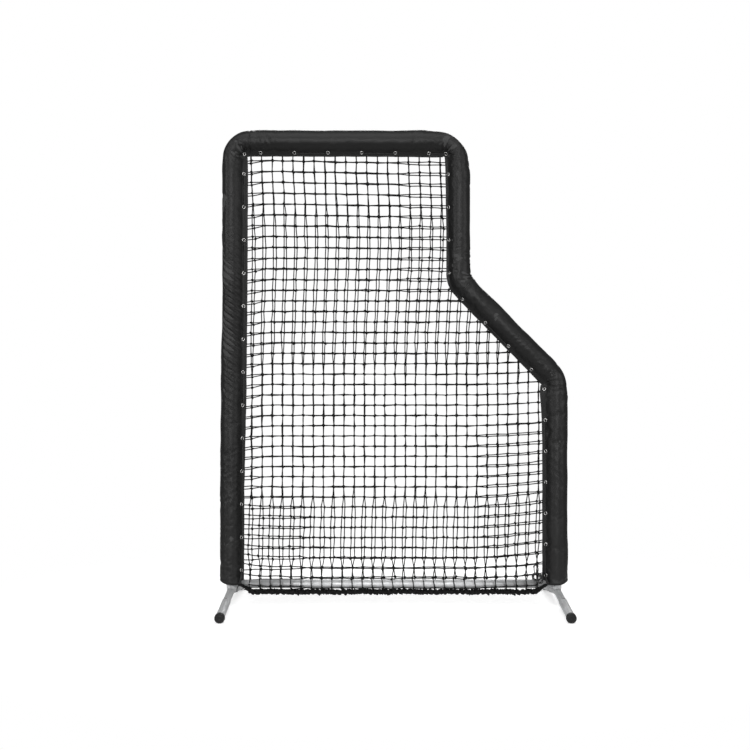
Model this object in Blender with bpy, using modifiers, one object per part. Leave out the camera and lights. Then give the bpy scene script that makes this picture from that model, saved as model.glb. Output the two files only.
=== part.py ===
"""A baseball L-screen: a padded and netted tube frame that a pitcher stands behind.

Metres, +Z up, origin on the floor under the middle of the frame. The frame stands in the XZ plane
with its front towards -Y, and the throwing gap is at its upper right.
"""

import math

import bmesh
import bpy
from mathutils import Euler, Matrix, Vector

GAP = 0.0003  # left between pieces that touch
OVERRUN = 0.01  # how far a cutter runs past what it cuts
SIDES = 12  # sides of every round tube
SMALL_SIDES = 8  # sides of cords, screws and the eyelet holes
FEWEST_SIDES = 4  # a curve's bevel has these, and two more for each step of its resolution
BEND_SEGMENT = math.radians(22.5)
KINK_TURN = math.radians(45)  # how far the frame turns at each end of its slope
HOLE_TURN = math.radians(7)  # from one eyelet hole to the next, which keeps their corners out of line

# The frame, measured between the centres of its tubes
UPPER_WIDTH = 1.040
SLOPE_WIDTH = 0.446  # how much wider the frame is below its slope
TOP_HEIGHT = 2.115
KINK_HEIGHT = 1.480
RAIL_HEIGHT = 0.099
TUBE_RADIUS = 0.01905
TUBE_WALL = 0.00165
RAIL_HORN = 0.008  # blunt end that the saddle cut leaves on the bottom rail

# Sleeves inside the tubes where two lengths meet, and their screws
SLEEVE_LENGTH = 0.120
SLEEVE_WALL = 0.0016
SCREW_SHARE = 0.5  # of the way from the splice to the sleeve's end
LEFT_SPLICE_HEIGHT = 1.100
TOP_SPLICE_REACH = 0.520
UPPER_SPLICE_ROOM = 0.009  # between the sleeve and the bend under it
LOWER_SPLICE_HEIGHT = 0.326
SHANK_RADIUS = 0.0024
SHANK_LENGTH = 0.009
HEAD_RADIUS = 0.0050
HEAD_HEIGHT = 0.0026
HEAD_EDGE = 0.0010

# The pads: a slit foam tube in a cover whose two flaps are laced together over the net
PAD_RADIUS = 0.048
PAD_BOTTOM = 0.098
PAD_TAIL = 0.012  # straight end of a pad past its bend
COVER_WALL = 0.0012
FLAP_WIDTH = 0.020
FOLD_RADIUS = 0.007  # what is left of a bend's radius at the edge of the flaps
EYELET_INSET = 0.0065
EYELET_HOLE = 0.00475
LACE_RADIUS = 0.00175
LACE_TAIL = 0.010

# Where each pad's first eyelet is from the start of its run and the last from the end, clockwise
LEFT_FIRST_EYELET = 0.064
LEFT_LAST_EYELET = 0.153
LEFT_EYELETS = 13
TOP_FIRST_EYELET = 0.137
TOP_LAST_EYELET = 0.138
TOP_EYELETS = 6
UPPER_FIRST_EYELET = 0.155
UPPER_LAST_EYELET = 0.032
UPPER_EYELETS = 4
DIAGONAL_FIRST_EYELET = 0.071
DIAGONAL_LAST_EYELET = 0.112
DIAGONAL_EYELETS = 4
RIGHT_FIRST_EYELET = 0.049
RIGHT_LAST_EYELET = 0.041
RIGHT_EYELETS = 7

# The net: two layers that part round the bottom rail and meet a thick rope under it
TWINE = 0.003
NET_PITCH = 0.144
LEAST_OPENING = 0.012  # a smaller one, left by the slope, is closed
NET_LEAST_SHARE = 0.3  # a strand this share of a pitch from an edge strand is left out
FLAP_LIP = 0.0005  # flap beyond the net's edge strand
SPREAD_HEIGHT = 0.400  # below it the two layers draw apart
ROPE_RADIUS = 0.017
ROPE_LUMP = 0.048
ROPE_WAIST_SHARE = 0.84
ROPE_END_RADIUS = 0.008
ROPE_TAPER = 0.070
ROPE_CLEARANCE = 0.024  # between the rope's ends and the uprights

# The feet: a tube bent over its middle with a straight arm and a cap at each end, and a stub that
# the upright drops over
FOOT_HEIGHT = 0.062
FOOT_FLAT = 0.026  # level middle of the foot tube, to each side
FOOT_BEND_RADIUS = 0.150
FOOT_BEND_SEGMENTS = 3
FOOT_REST = 0.4084  # how far out a cap's lowest edge is
ARM_RADIUS = 0.01905
ARM_WALL = 0.00205
ARM_START = 0.165
ARM_OVERLAP = 0.040
FOOT_WALL = 0.0020
STUB_LENGTH = 0.120
STUB_WALL = 0.0020
STUB_COPE_SHARE = 0.33  # of the foot tube's radius, where the stub's coped end starts
CAP_RADIUS = 0.0225
CAP_DEPTH = 0.015
CAP_END = 0.004
CAP_EDGE = 0.002
CAP_FLAT = 0.0012  # worn flat where the cap stands

# Sizes that follow from the ones above
FRAME_WIDTH = UPPER_WIDTH + SLOPE_WIDTH
LEFT = -FRAME_WIDTH / 2
RIGHT = FRAME_WIDTH / 2
UPPER_RIGHT = LEFT + UPPER_WIDTH
LOWER_KINK_HEIGHT = KINK_HEIGHT - SLOPE_WIDTH / math.tan(KINK_TURN)
BORE_RADIUS = TUBE_RADIUS - TUBE_WALL - GAP
FOOT_RADIUS = ARM_RADIUS - ARM_WALL - GAP
UPRIGHT_BOTTOM = FOOT_HEIGHT + FOOT_RADIUS + GAP
FLAP_REACH = PAD_RADIUS + FLAP_WIDTH
BEND_RADIUS = FLAP_REACH + FOLD_RADIUS
KINK_TANGENT = BEND_RADIUS * math.tan(KINK_TURN / 2)  # from a kink's corner to the end of its bend
UPPER_SPLICE_HEIGHT = KINK_HEIGHT + KINK_TANGENT + UPPER_SPLICE_ROOM + SLEEVE_LENGTH / 2
EYELET_REACH = PAD_RADIUS + EYELET_INSET
FOAM_RADIUS = PAD_RADIUS - COVER_WALL - GAP
FLAP_INNER = GAP / 2 + TWINE + GAP
FLAP_OUTER = FLAP_INNER + COVER_WALL
LACE_HEIGHT = FLAP_OUTER + GAP + LACE_RADIUS
NET_REACH = FLAP_REACH - FLAP_LIP - TWINE
ROPE_TOP = RAIL_HEIGHT - TUBE_RADIUS - GAP
LACE_STRIDE = EYELET_HOLE - LACE_RADIUS + GAP  # the lace lifts off the flap this far before a hole
RAIL_LINE = RAIL_HEIGHT + TUBE_RADIUS + GAP + TWINE / 2
CAP_REACH = GAP + CAP_END - CAP_EDGE  # from an arm's end to the full edge of its cap
LAYER_SHIFT = TUBE_RADIUS + GAP / 2  # how far each net layer moves out to pass the bottom rail

XZ_PLANE = (math.pi / 2, 0, 0)
FORWARD_PLANE = (math.pi / 2, 0, -math.pi / 2)
BACKWARD_PLANE = (math.pi / 2, 0, math.pi / 2)

FINISHES = {  # base colour, metallic, roughness
    "galvanised": ((0.42, 0.43, 0.44), 1.0, 0.42),
    "zinc": ((0.60, 0.60, 0.62), 1.0, 0.30),
    "vinyl": ((0.022, 0.022, 0.024), 0.0, 0.38),
    "foam": ((0.050, 0.050, 0.052), 0.0, 0.90),
    "twine": ((0.012, 0.012, 0.013), 0.0, 0.75),
    "rubber": ((0.018, 0.018, 0.018), 0.0, 0.60),
}

for old in list(bpy.data.objects):
    bpy.data.objects.remove(old)
PARTS = bpy.data.collections.new("baseball_l_screen")
CUTTERS = bpy.data.collections.new("cutters")
bpy.context.scene.collection.children.link(PARTS)
bpy.context.scene.collection.children.link(CUTTERS)


def finish_of(name, finish):
    colour, metallic, roughness = FINISHES[finish]
    material = bpy.data.materials.new(f"{name}_{finish}")
    material.use_nodes = True
    shader = material.node_tree.nodes["Principled BSDF"]
    shader.inputs["Base Color"].default_value = (*colour, 1.0)
    shader.inputs["Metallic"].default_value = metallic
    shader.inputs["Roughness"].default_value = roughness
    return material


def add_part(name, mesh, finish, place=None, parent=None):
    """A named part with its own material, placed in the world and hung on its parent."""
    part = bpy.data.objects.new(name, mesh)
    PARTS.objects.link(part)
    mesh.materials.append(finish_of(name, finish))
    part.matrix_world = place or Matrix()
    if parent:
        part.parent = parent
        part.matrix_parent_inverse = Matrix.Translation(-parent.location)
    mesh.shade_smooth()
    mesh.set_sharp_from_angle(angle=math.radians(40))
    return part


def add_cutter(name, mesh):
    cutter = bpy.data.objects.new(name, mesh)
    CUTTERS.objects.link(cutter)
    cutter.hide_render = True
    cutter.display_type = "WIRE"
    return cutter


def cut(part, cutter):
    boolean = part.modifiers.new(f"cut_{cutter.name}", "BOOLEAN")
    boolean.operation = "DIFFERENCE"
    boolean.object = cutter


def along(point, axis):
    """The matrix that puts local Z along the axis, at the point."""
    return Matrix.Translation(point) @ Vector(axis).to_track_quat("Z", "Y").to_matrix().to_4x4()


def rods(name, radius, low, high, places, sides=SIDES):
    """One cutter mesh of round rods, each from low to high along the local Z of its place."""
    mesh = bpy.data.meshes.new(name)
    bm = bmesh.new()
    for place in places:
        middle = place @ Matrix.Translation((0, 0, (low + high) / 2))
        bmesh.ops.create_cone(
            bm, cap_ends=True, segments=sides, radius1=radius, radius2=radius, depth=high - low, matrix=middle
        )
    bm.to_mesh(mesh)
    bm.free()
    return mesh


def turned(name, profile, finish, place, parent=None, sides=SIDES):
    """A round piece from a profile of (radius, height) points that runs down its outer side."""
    mesh = bpy.data.meshes.new(name)
    points = [(radius, 0, height) for radius, height in profile]
    mesh.from_pydata(points, [(i, i + 1) for i in range(len(points) - 1)], [])
    part = add_part(name, mesh, finish, place, parent)
    screw = part.modifiers.new("turn", "SCREW")
    screw.steps = screw.render_steps = sides
    screw.use_merge_vertices = True
    screw.merge_threshold = GAP / 10
    return part


def screw_part(name, place, parent=None):
    profile = [
        (0, HEAD_HEIGHT),
        (HEAD_RADIUS - HEAD_EDGE, HEAD_HEIGHT),
        (HEAD_RADIUS, HEAD_HEIGHT - HEAD_EDGE),
        (HEAD_RADIUS, 0),
        (SHANK_RADIUS, 0),
        (SHANK_RADIUS, -SHANK_LENGTH),
        (0, -SHANK_LENGTH),
    ]
    return turned(name, profile, "zinc", place, parent, SMALL_SIDES)


def screw_bores(name, places):
    return rods(name, SHANK_RADIUS + GAP, -SHANK_LENGTH - OVERRUN / 2, OVERRUN, places, SMALL_SIDES)


def add_spline(curve, points, closed=False, radii=None):
    spline = curve.splines.new("POLY")
    spline.points.add(len(points[1:]))
    for index, (target, point) in enumerate(zip(spline.points, points)):
        target.co = (*Vector(point).to_3d(), 1)
        target.radius = radii[index] if radii else 1
    spline.use_cyclic_u = closed


def mesh_of(curve):
    """The curve's surface as a mesh of its own, with the caps welded on."""
    holder = bpy.data.objects.new(curve.name, curve)
    bpy.context.scene.collection.objects.link(holder)
    graph = bpy.context.evaluated_depsgraph_get()
    mesh = bpy.data.meshes.new_from_object(holder.evaluated_get(graph))
    bpy.data.objects.remove(holder)
    bm = bmesh.new()
    bm.from_mesh(mesh)
    bmesh.ops.remove_doubles(bm, verts=bm.verts, dist=GAP / 10)
    bm.to_mesh(mesh)
    bm.free()
    mesh.materials.clear()
    return mesh


def round_sweep(name, points, radius, sides=SIDES, capped=False, radii=None, flat=True):
    """A round tube's surface, or a round rod's where it is capped, along the points."""
    curve = bpy.data.curves.new(name, "CURVE")
    curve.dimensions = "2D" if flat else "3D"
    curve.bevel_depth = radius
    curve.bevel_resolution = (sides - FEWEST_SIDES) // 2
    curve.use_fill_caps = capped
    add_spline(curve, points, radii=radii)
    return mesh_of(curve)


def profile_sweep(name, points, profile, closed):
    """A section swept along the points: its X is to the right of the way, its Y towards the front."""
    section = bpy.data.curves.new(f"{name}_section", "CURVE")
    section.dimensions = "2D"
    add_spline(section, profile, closed)
    holder = bpy.data.objects.new(section.name, section)
    curve = bpy.data.curves.new(name, "CURVE")
    curve.dimensions = "2D"
    curve.bevel_mode = "OBJECT"
    curve.bevel_object = holder
    curve.use_fill_caps = closed
    add_spline(curve, points)
    mesh = mesh_of(curve)
    bpy.data.objects.remove(holder)
    return mesh


def give_wall(part, wall):
    """Thickens an open surface inwards."""
    solidify = part.modifiers.new("wall", "SOLIDIFY")
    solidify.thickness = wall
    solidify.offset = -1
    solidify.use_even_offset = True


def plane_place(rotation, location=(0, 0, 0)):
    return Matrix.Translation(location) @ Euler(rotation).to_matrix().to_4x4()


def rounded(corners, radius=BEND_RADIUS):
    """The way through the corners, with an arc at each corner between the first and the last."""
    way = [Vector(corners[0])]
    for before, corner, after in zip(corners, corners[1:], corners[2:]):
        corner = Vector(corner)
        arriving = (corner - Vector(before)).normalized()
        leaving = (Vector(after) - corner).normalized()
        turn = arriving.angle_signed(leaving)  # clockwise turns are positive
        start = corner - arriving * radius * math.tan(abs(turn) / 2)
        side = Vector((arriving.y, -arriving.x)) * math.copysign(radius, turn)
        steps = max(1, round(abs(turn) / BEND_SEGMENT))
        for step in range(steps + 1):
            spoke = -side
            spoke.rotate(Matrix.Rotation(-turn * step / steps, 2))
            way.append(start + side + spoke)
    way.append(Vector(corners[-1]))
    return way


def frame_tube(name, corners):
    mesh = round_sweep(name, rounded(corners), TUBE_RADIUS)
    part = add_part(name, mesh, "galvanised", plane_place(XZ_PLANE))
    give_wall(part, TUBE_WALL)
    return part


def in_world(point, depth=0):
    """A point of the frame's own plane, as X and Z in the world."""
    return Vector((point[0], depth, point[1]))


# Corners of the frame's centre line, clockwise from the foot of the left upright
LEFT_FOOT = Vector((LEFT, UPRIGHT_BOTTOM))
TOP_LEFT = Vector((LEFT, TOP_HEIGHT))
TOP_RIGHT = Vector((UPPER_RIGHT, TOP_HEIGHT))
UPPER_KINK = Vector((UPPER_RIGHT, KINK_HEIGHT))
LOWER_KINK = Vector((RIGHT, LOWER_KINK_HEIGHT))
RIGHT_FOOT = Vector((RIGHT, UPRIGHT_BOTTOM))
LEFT_PAD_END = Vector((LEFT, PAD_BOTTOM))
RIGHT_PAD_END = Vector((RIGHT, PAD_BOTTOM))
SLANT = Vector((1, 1, 0)).normalized()  # out of the frame, square to its slope
UP = Vector((0, 1))
ACROSS = Vector((1, 0))

# Each splice: where it is, the way of the tube there, and the side that its screws are on
SPLICES = {
    "left": (Vector((LEFT, LEFT_SPLICE_HEIGHT)), UP, -ACROSS),
    "top": (Vector((LEFT + TOP_SPLICE_REACH, TOP_HEIGHT)), ACROSS, UP),
    "upper_right": (Vector((UPPER_RIGHT, UPPER_SPLICE_HEIGHT)), -UP, ACROSS),
    "lower_right": (Vector((RIGHT, LOWER_SPLICE_HEIGHT)), -UP, ACROSS),
}
PAD_NAMES = ("left", "top", "upper_right", "diagonal")  # in order, before the straight right pad


def build_frame():
    """The six tubes of the frame and the sleeves and screws that join them."""
    corners = {
        "left_lower_tube": [LEFT_FOOT, "left"],
        "top_left_tube": ["left", TOP_LEFT, "top"],
        "top_right_tube": ["top", TOP_RIGHT, "upper_right"],
        "diagonal_tube": ["upper_right", UPPER_KINK, LOWER_KINK, "lower_right"],
        "right_lower_tube": ["lower_right", RIGHT_FOOT],
    }
    tubes = {}
    for name, route in corners.items():
        if isinstance(route[0], str):
            joint, way, _ = SPLICES[route[0]]
            route = [joint + way * GAP / 2] + route[1:]
        if isinstance(route[-1], str):
            joint, way, _ = SPLICES[route[-1]]
            route = route[:-1] + [joint - way * GAP / 2]
        tubes[name] = frame_tube(name, route)
    joined = list(tubes.values())
    pockets = {}
    for index, (side, (joint, way, outward)) in enumerate(SPLICES.items()):
        ends = [joint - way * SLEEVE_LENGTH / 2, joint + way * SLEEVE_LENGTH / 2]
        mesh = round_sweep(f"{side}_splice_sleeve", ends, BORE_RADIUS)
        sleeve = add_part(f"{side}_splice_sleeve", mesh, "galvanised", plane_place(XZ_PLANE))
        give_wall(sleeve, SLEEVE_WALL)
        places = []
        for number, end in enumerate(ends, start=1):
            seat = joint.lerp(end, SCREW_SHARE) + outward * (TUBE_RADIUS + GAP)
            places.append(along(in_world(seat), in_world(outward)))
            screw_part(f"{side}_splice_screw_{number}", places[-1])
        holes = add_cutter(f"{side}_screw_holes", screw_bores(side, places))
        for target in (sleeve, joined[index], joined[index + 1]):
            cut(target, holes)
        pocket = rods(side, HEAD_RADIUS + GAP, -TUBE_RADIUS / 2, HEAD_HEIGHT + GAP, places, SMALL_SIDES)
        pockets[side] = add_cutter(f"{side}_screw_pockets", pocket)
    build_rail()
    return pockets


def build_rail():
    reach = RIGHT - RAIL_HORN
    mesh = round_sweep("bottom_rail_tube", [(-reach, RAIL_HEIGHT), (reach, RAIL_HEIGHT)], TUBE_RADIUS)
    rail = add_part("bottom_rail_tube", mesh, "galvanised", plane_place(XZ_PLANE))
    give_wall(rail, TUBE_WALL)
    for side, x in (("left", LEFT), ("right", RIGHT)):
        place = [Matrix.Translation((x, 0, RAIL_HEIGHT))]
        saddle = rods(side, TUBE_RADIUS + GAP, -TUBE_RADIUS - OVERRUN, TUBE_RADIUS + OVERRUN, place)
        cut(rail, add_cutter(f"{side}_rail_saddle", saddle))


def polar(radius, angle):
    return radius * math.cos(angle), radius * math.sin(angle)


def foam_section():
    """A round tube of foam, slit on the side of the net."""
    angles = [-2 * math.pi * k / SIDES for k in range(1, SIDES)]
    outer = [polar(FOAM_RADIUS, angle) for angle in angles]
    bore = [polar(TUBE_RADIUS + GAP, angle) for angle in reversed(angles)]
    return outer + bore


def cover_section():
    """The cover's outer line, from the rear flap's edge round the tube to the front flap's."""
    around = [polar(PAD_RADIUS, -2 * math.pi * k / SIDES) for k in range(1, SIDES)]
    rear = [(FLAP_REACH, -FLAP_OUTER), (PAD_RADIUS, -FLAP_OUTER)]
    front = [(PAD_RADIUS, FLAP_OUTER), (FLAP_REACH, FLAP_OUTER)]
    return rear + around + front


def eyelets_on(start, end, first, last, count):
    """Eyelet places spread evenly along one straight run, on the net side of the pad."""
    way = (end - start).normalized()
    inward = Vector((way.y, -way.x))
    low, high = start + way * first + inward * EYELET_REACH, end - way * last + inward * EYELET_REACH
    return [low.lerp(high, k / (count - 1)) for k in range(count)]


def corner_eyelet(corner, inward):
    """The eyelet half way round a square corner, where the lace turns about the bend's centre."""
    centre = corner + inward * BEND_RADIUS
    return centre - inward.normalized() * (BEND_RADIUS - EYELET_REACH)


def pad_eyelets():
    top_left, top_right = corner_eyelet(TOP_LEFT, ACROSS - UP), corner_eyelet(TOP_RIGHT, -ACROSS - UP)
    runs = {
        "left": (LEFT_PAD_END, TOP_LEFT, LEFT_FIRST_EYELET, LEFT_LAST_EYELET, LEFT_EYELETS),
        "top": (TOP_LEFT, TOP_RIGHT, TOP_FIRST_EYELET, TOP_LAST_EYELET, TOP_EYELETS),
        "upper_right": (TOP_RIGHT, UPPER_KINK, UPPER_FIRST_EYELET, UPPER_LAST_EYELET, UPPER_EYELETS),
        "diagonal": (UPPER_KINK, LOWER_KINK, DIAGONAL_FIRST_EYELET, DIAGONAL_LAST_EYELET, DIAGONAL_EYELETS),
        "right": (LOWER_KINK, RIGHT_PAD_END, RIGHT_FIRST_EYELET, RIGHT_LAST_EYELET, RIGHT_EYELETS),
    }
    places = {name: eyelets_on(*run) for name, run in runs.items()}
    places["left"].append(top_left)
    places["top"].append(top_right)
    return places


def pad_ways():
    """Each pad's way along the frame: a straight stretch and the bend after it."""
    whole = [LEFT_PAD_END, TOP_LEFT, TOP_RIGHT, UPPER_KINK, LOWER_KINK, RIGHT_PAD_END]
    ways = {}
    start = whole[0]
    for name, corner, after in zip(PAD_NAMES, whole[1:], whole[2:]):
        bend = rounded([start, corner, after])[:-1]
        onward = (after - corner).normalized()
        ways[name] = bend + [bend[-1] + onward * PAD_TAIL]
        start = ways[name][-1] + onward * GAP
    ways["right"] = [start, whole[-1]]
    return ways


def build_pads(pockets):
    """Foam, laced cover and lace of each stretch of the frame."""
    eyelets = pad_eyelets()
    notches = {}
    for side, x in (("left", LEFT), ("right", RIGHT)):
        place = [along((x, 0, RAIL_HEIGHT), (-math.copysign(1, x), 0, 0))]
        notch = rods(side, RAIL_LINE + TWINE / 2 + GAP - RAIL_HEIGHT, 0, FLAP_REACH + OVERRUN, place)
        notches[side] = add_cutter(f"{side}_rail_notch", notch)
    splice_pads = {"left": "left", "top": "top", "upper_right": "upper_right", "right": "lower_right"}
    after = dict(zip(PAD_NAMES, (*PAD_NAMES[1:], "right")))
    for name, way in pad_ways().items():
        foam_mesh = profile_sweep(f"{name}_foam", way, foam_section(), closed=True)
        foam = add_part(f"{name}_foam", foam_mesh, "foam", plane_place(XZ_PLANE))
        if name in splice_pads:
            cut(foam, pockets[splice_pads[name]])
        cover_mesh = profile_sweep(f"{name}_cover", way, cover_section(), closed=False)
        cover = add_part(f"{name}_cover", cover_mesh, "vinyl", plane_place(XZ_PLANE))
        give_wall(cover, COVER_WALL)
        places = [
            along(in_world(eyelet), (0, 1, 0)) @ Matrix.Rotation(HOLE_TURN * number, 4, "Z")
            for number, eyelet in enumerate(eyelets[name], start=1)
        ]
        holes = rods(name, EYELET_HOLE, -FLAP_OUTER - OVERRUN, FLAP_OUTER + OVERRUN, places, SMALL_SIDES)
        cut(cover, add_cutter(f"{name}_eyelet_holes", holes))
        if name in notches:
            cut(foam, notches[name])
            cut(cover, notches[name])
        onward = eyelets[after[name]][0] if name in after else eyelets[name][-1] - UP
        build_lace(name, eyelets[name], onward)


def build_lace(name, eyelets, onward):
    """A cord in running stitch: along one flap to the next eyelet, through, and along the other."""
    side = -1
    points = []
    legs = [(there - here).normalized() for here, there in zip(eyelets, eyelets[1:] + [onward])]
    points.append(in_world(eyelets[0] - legs[0] * LACE_TAIL, side * LACE_HEIGHT))
    for eyelet, arriving, leaving in zip(eyelets, legs[:1] + legs, legs):
        points.append(in_world(eyelet - arriving * LACE_STRIDE, side * LACE_HEIGHT))
        side = -side
        points.append(in_world(eyelet + leaving * LACE_STRIDE, side * LACE_HEIGHT))
    points.append(in_world(eyelets[-1] + legs[-1] * LACE_TAIL, side * LACE_HEIGHT))
    mesh = round_sweep(f"{name}_lace", points, LACE_RADIUS, SMALL_SIDES, capped=True, flat=False)
    add_part(f"{name}_lace", mesh, "twine")


def strand_lines(low, high, first):
    """Centres of the strands from one edge strand to the other, whole pitches from the first."""
    low_edge, high_edge = low + TWINE / 2, high - TWINE / 2
    least = NET_LEAST_SHARE * NET_PITCH
    lowest = math.ceil((low_edge + least - first) / NET_PITCH)
    highest = math.floor((high_edge - least - first) / NET_PITCH)
    return [low_edge] + [first + k * NET_PITCH for k in range(lowest, highest + 1)] + [high_edge]


def net_panel(name, columns, rows, layer, shift_of, is_left_out, slant_reach=None):
    """A sheet of crossing strands, its points moved out from the frame's plane by shift_of."""
    across = [line + edge for line in columns for edge in (-TWINE / 2, TWINE / 2)]
    up = [line + edge for line in rows for edge in (-TWINE / 2, TWINE / 2)]
    bm = bmesh.new()
    bmesh.ops.create_grid(bm, x_segments=len(across[1:]), y_segments=len(up[1:]), size=1)
    for vertex in bm.verts:
        row, column = divmod(vertex.index, len(across))
        vertex.co = (across[column], up[row], -TWINE / 2)
    if slant_reach:
        for reach in (slant_reach, slant_reach - TWINE):
            sheet = [*bm.verts, *bm.edges, *bm.faces]
            place, outer = SLANT * reach, reach == slant_reach
            bmesh.ops.bisect_plane(bm, geom=sheet, plane_co=place, plane_no=SLANT, clear_outer=outer)
    openings = []
    for face in bm.faces:
        centre = face.calc_center_median()
        on_strand = min(abs(centre.x - column) for column in columns) < TWINE / 2
        on_strand = on_strand or min(abs(centre.y - row) for row in rows) < TWINE / 2
        on_strand = on_strand or slant_reach and SLANT.dot(centre) > slant_reach - TWINE
        if is_left_out(centre) or not on_strand and face.calc_area() > LEAST_OPENING ** 2:
            openings.append(face)
    bmesh.ops.delete(bm, geom=openings, context="FACES")
    bmesh.ops.remove_doubles(bm, verts=bm.verts, dist=GAP)
    made = bmesh.ops.extrude_face_region(bm, geom=bm.faces[:])["geom"]
    front = [item for item in made if isinstance(item, bmesh.types.BMVert)]
    bmesh.ops.translate(bm, vec=(0, 0, TWINE), verts=front)
    for vertex in bm.verts:
        vertex.co.z += layer * ((GAP + TWINE) / 2 + shift_of(vertex.co))
    bmesh.ops.recalc_face_normals(bm, faces=bm.faces)
    mesh = bpy.data.meshes.new(name)
    bm.to_mesh(mesh)
    bm.free()
    add_part(name, mesh, "twine", plane_place(XZ_PLANE))


def build_net():
    """Two layers, each an upper and a lower sheet, which meet where the frame turns outwards."""
    low_x, high_x, step_x = LEFT + NET_REACH, RIGHT - NET_REACH, UPPER_RIGHT - NET_REACH
    slant_reach = SLANT.dot(UPPER_KINK.to_3d()) - NET_REACH
    split = slant_reach / SLANT.y - step_x
    hem = ROPE_TOP - ROPE_RADIUS
    above_rail = RAIL_LINE - TWINE / 2
    for layer, title, half in ((1, "front", 0), (-1, "rear", NET_PITCH / 2)):
        columns = strand_lines(low_x, high_x, half)
        rows = strand_lines(above_rail, split - GAP / 2, RAIL_LINE + half)

        def gathered(point, low=columns[1], high=columns[-2]):
            return low - TWINE < point.x < high + TWINE

        def spread(point, gathered=gathered):
            share = (SPREAD_HEIGHT - point.y) / (SPREAD_HEIGHT - above_rail - TWINE)
            return LAYER_SHIFT * min(1, max(0, share)) * gathered(point)

        def below_rail(point, gathered=gathered):
            return point.y < above_rail and not gathered(point)

        hem_rows = [hem + TWINE / 2, *rows]
        net_panel(f"{title}_net_lower", columns, hem_rows, layer, spread, below_rail, slant_reach)
        columns = strand_lines(low_x, step_x, half)
        rows = strand_lines(split + GAP / 2, TOP_HEIGHT - NET_REACH, RAIL_LINE + half)
        net_panel(f"{title}_net_upper", columns, rows, layer, lambda point: 0, lambda point: False)


def build_rope():
    """The thick lumpy rope that gathers the net under the bottom rail, thinner at its ends."""
    reach = RIGHT - TUBE_RADIUS - ROPE_CLEARANCE
    half_steps = round(reach / (ROPE_LUMP / 2))
    points, radii = [], []
    for step in range(-half_steps, half_steps + 1):
        x = reach * step / half_steps
        fullness = math.sin(math.pi / 2 * min(1, (reach - abs(x)) / ROPE_TAPER))
        envelope = ROPE_END_RADIUS + (ROPE_RADIUS - ROPE_END_RADIUS) * fullness
        points.append((x, ROPE_TOP - envelope))
        radii.append(envelope / ROPE_RADIUS * (ROPE_WAIST_SHARE if step % 2 else 1))
    mesh = round_sweep("bottom_rope", points, ROPE_RADIUS, SMALL_SIDES, capped=True, radii=radii)
    add_part("bottom_rope", mesh, "twine", plane_place(XZ_PLANE))


def foot_slope():
    """How far the halves of a foot turn down, so that its caps just reach the floor."""
    across = FOOT_REST - FOOT_FLAT
    rise = FOOT_BEND_RADIUS - FOOT_HEIGHT - CAP_FLAT
    return math.asin((FOOT_BEND_RADIUS - CAP_RADIUS) / math.hypot(across, rise)) - math.atan2(rise, across)


def foot_bend(turn):
    """A point of the foot's centre line in its bend, as reach and height."""
    return FOOT_FLAT + FOOT_BEND_RADIUS * math.sin(turn), FOOT_HEIGHT - FOOT_BEND_RADIUS * (1 - math.cos(turn))


def foot_point(reach):
    """A point of the foot's centre line past its bend, as reach and height."""
    start, height = foot_bend(foot_slope())
    return reach, height - (reach - start) * math.tan(foot_slope())


def build_foot(side, x):
    """One foot, hung on an empty on the axis that the upright slides along."""
    foot = bpy.data.objects.new(f"{side}_foot_axis", None)
    PARTS.objects.link(foot)
    foot.location = (x, 0, 0)
    bend = [foot_bend(foot_slope() * step / FOOT_BEND_SEGMENTS) for step in range(FOOT_BEND_SEGMENTS + 1)]
    half = bend + [foot_point(ARM_START + ARM_OVERLAP)]
    other_half = [(-reach, height) for reach, height in reversed(half)]
    mesh = round_sweep(f"{side}_foot_tube", other_half + half, FOOT_RADIUS)
    tube = add_part(f"{side}_foot_tube", mesh, "galvanised", plane_place(FORWARD_PLANE, foot.location), foot)
    give_wall(tube, FOOT_WALL)
    stub_start = FOOT_HEIGHT + FOOT_RADIUS * STUB_COPE_SHARE
    stub_ends = [(0, stub_start), (0, UPRIGHT_BOTTOM + STUB_LENGTH)]
    mesh = round_sweep(f"{side}_foot_stub", stub_ends, BORE_RADIUS)
    stub = add_part(f"{side}_foot_stub", mesh, "galvanised", plane_place(XZ_PLANE, foot.location), foot)
    give_wall(stub, STUB_WALL)
    saddle_place = [along((x, 0, FOOT_HEIGHT), (0, 1, 0))]
    saddle = rods(side, FOOT_RADIUS + GAP, -BORE_RADIUS - OVERRUN, BORE_RADIUS + OVERRUN, saddle_place)
    cut(stub, add_cutter(f"{side}_stub_saddle", saddle))
    for end, plane, facing in (("front", FORWARD_PLANE, -1), ("rear", BACKWARD_PLANE, 1)):
        build_arm(f"{side}_{end}", foot, tube, plane, facing)


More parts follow.
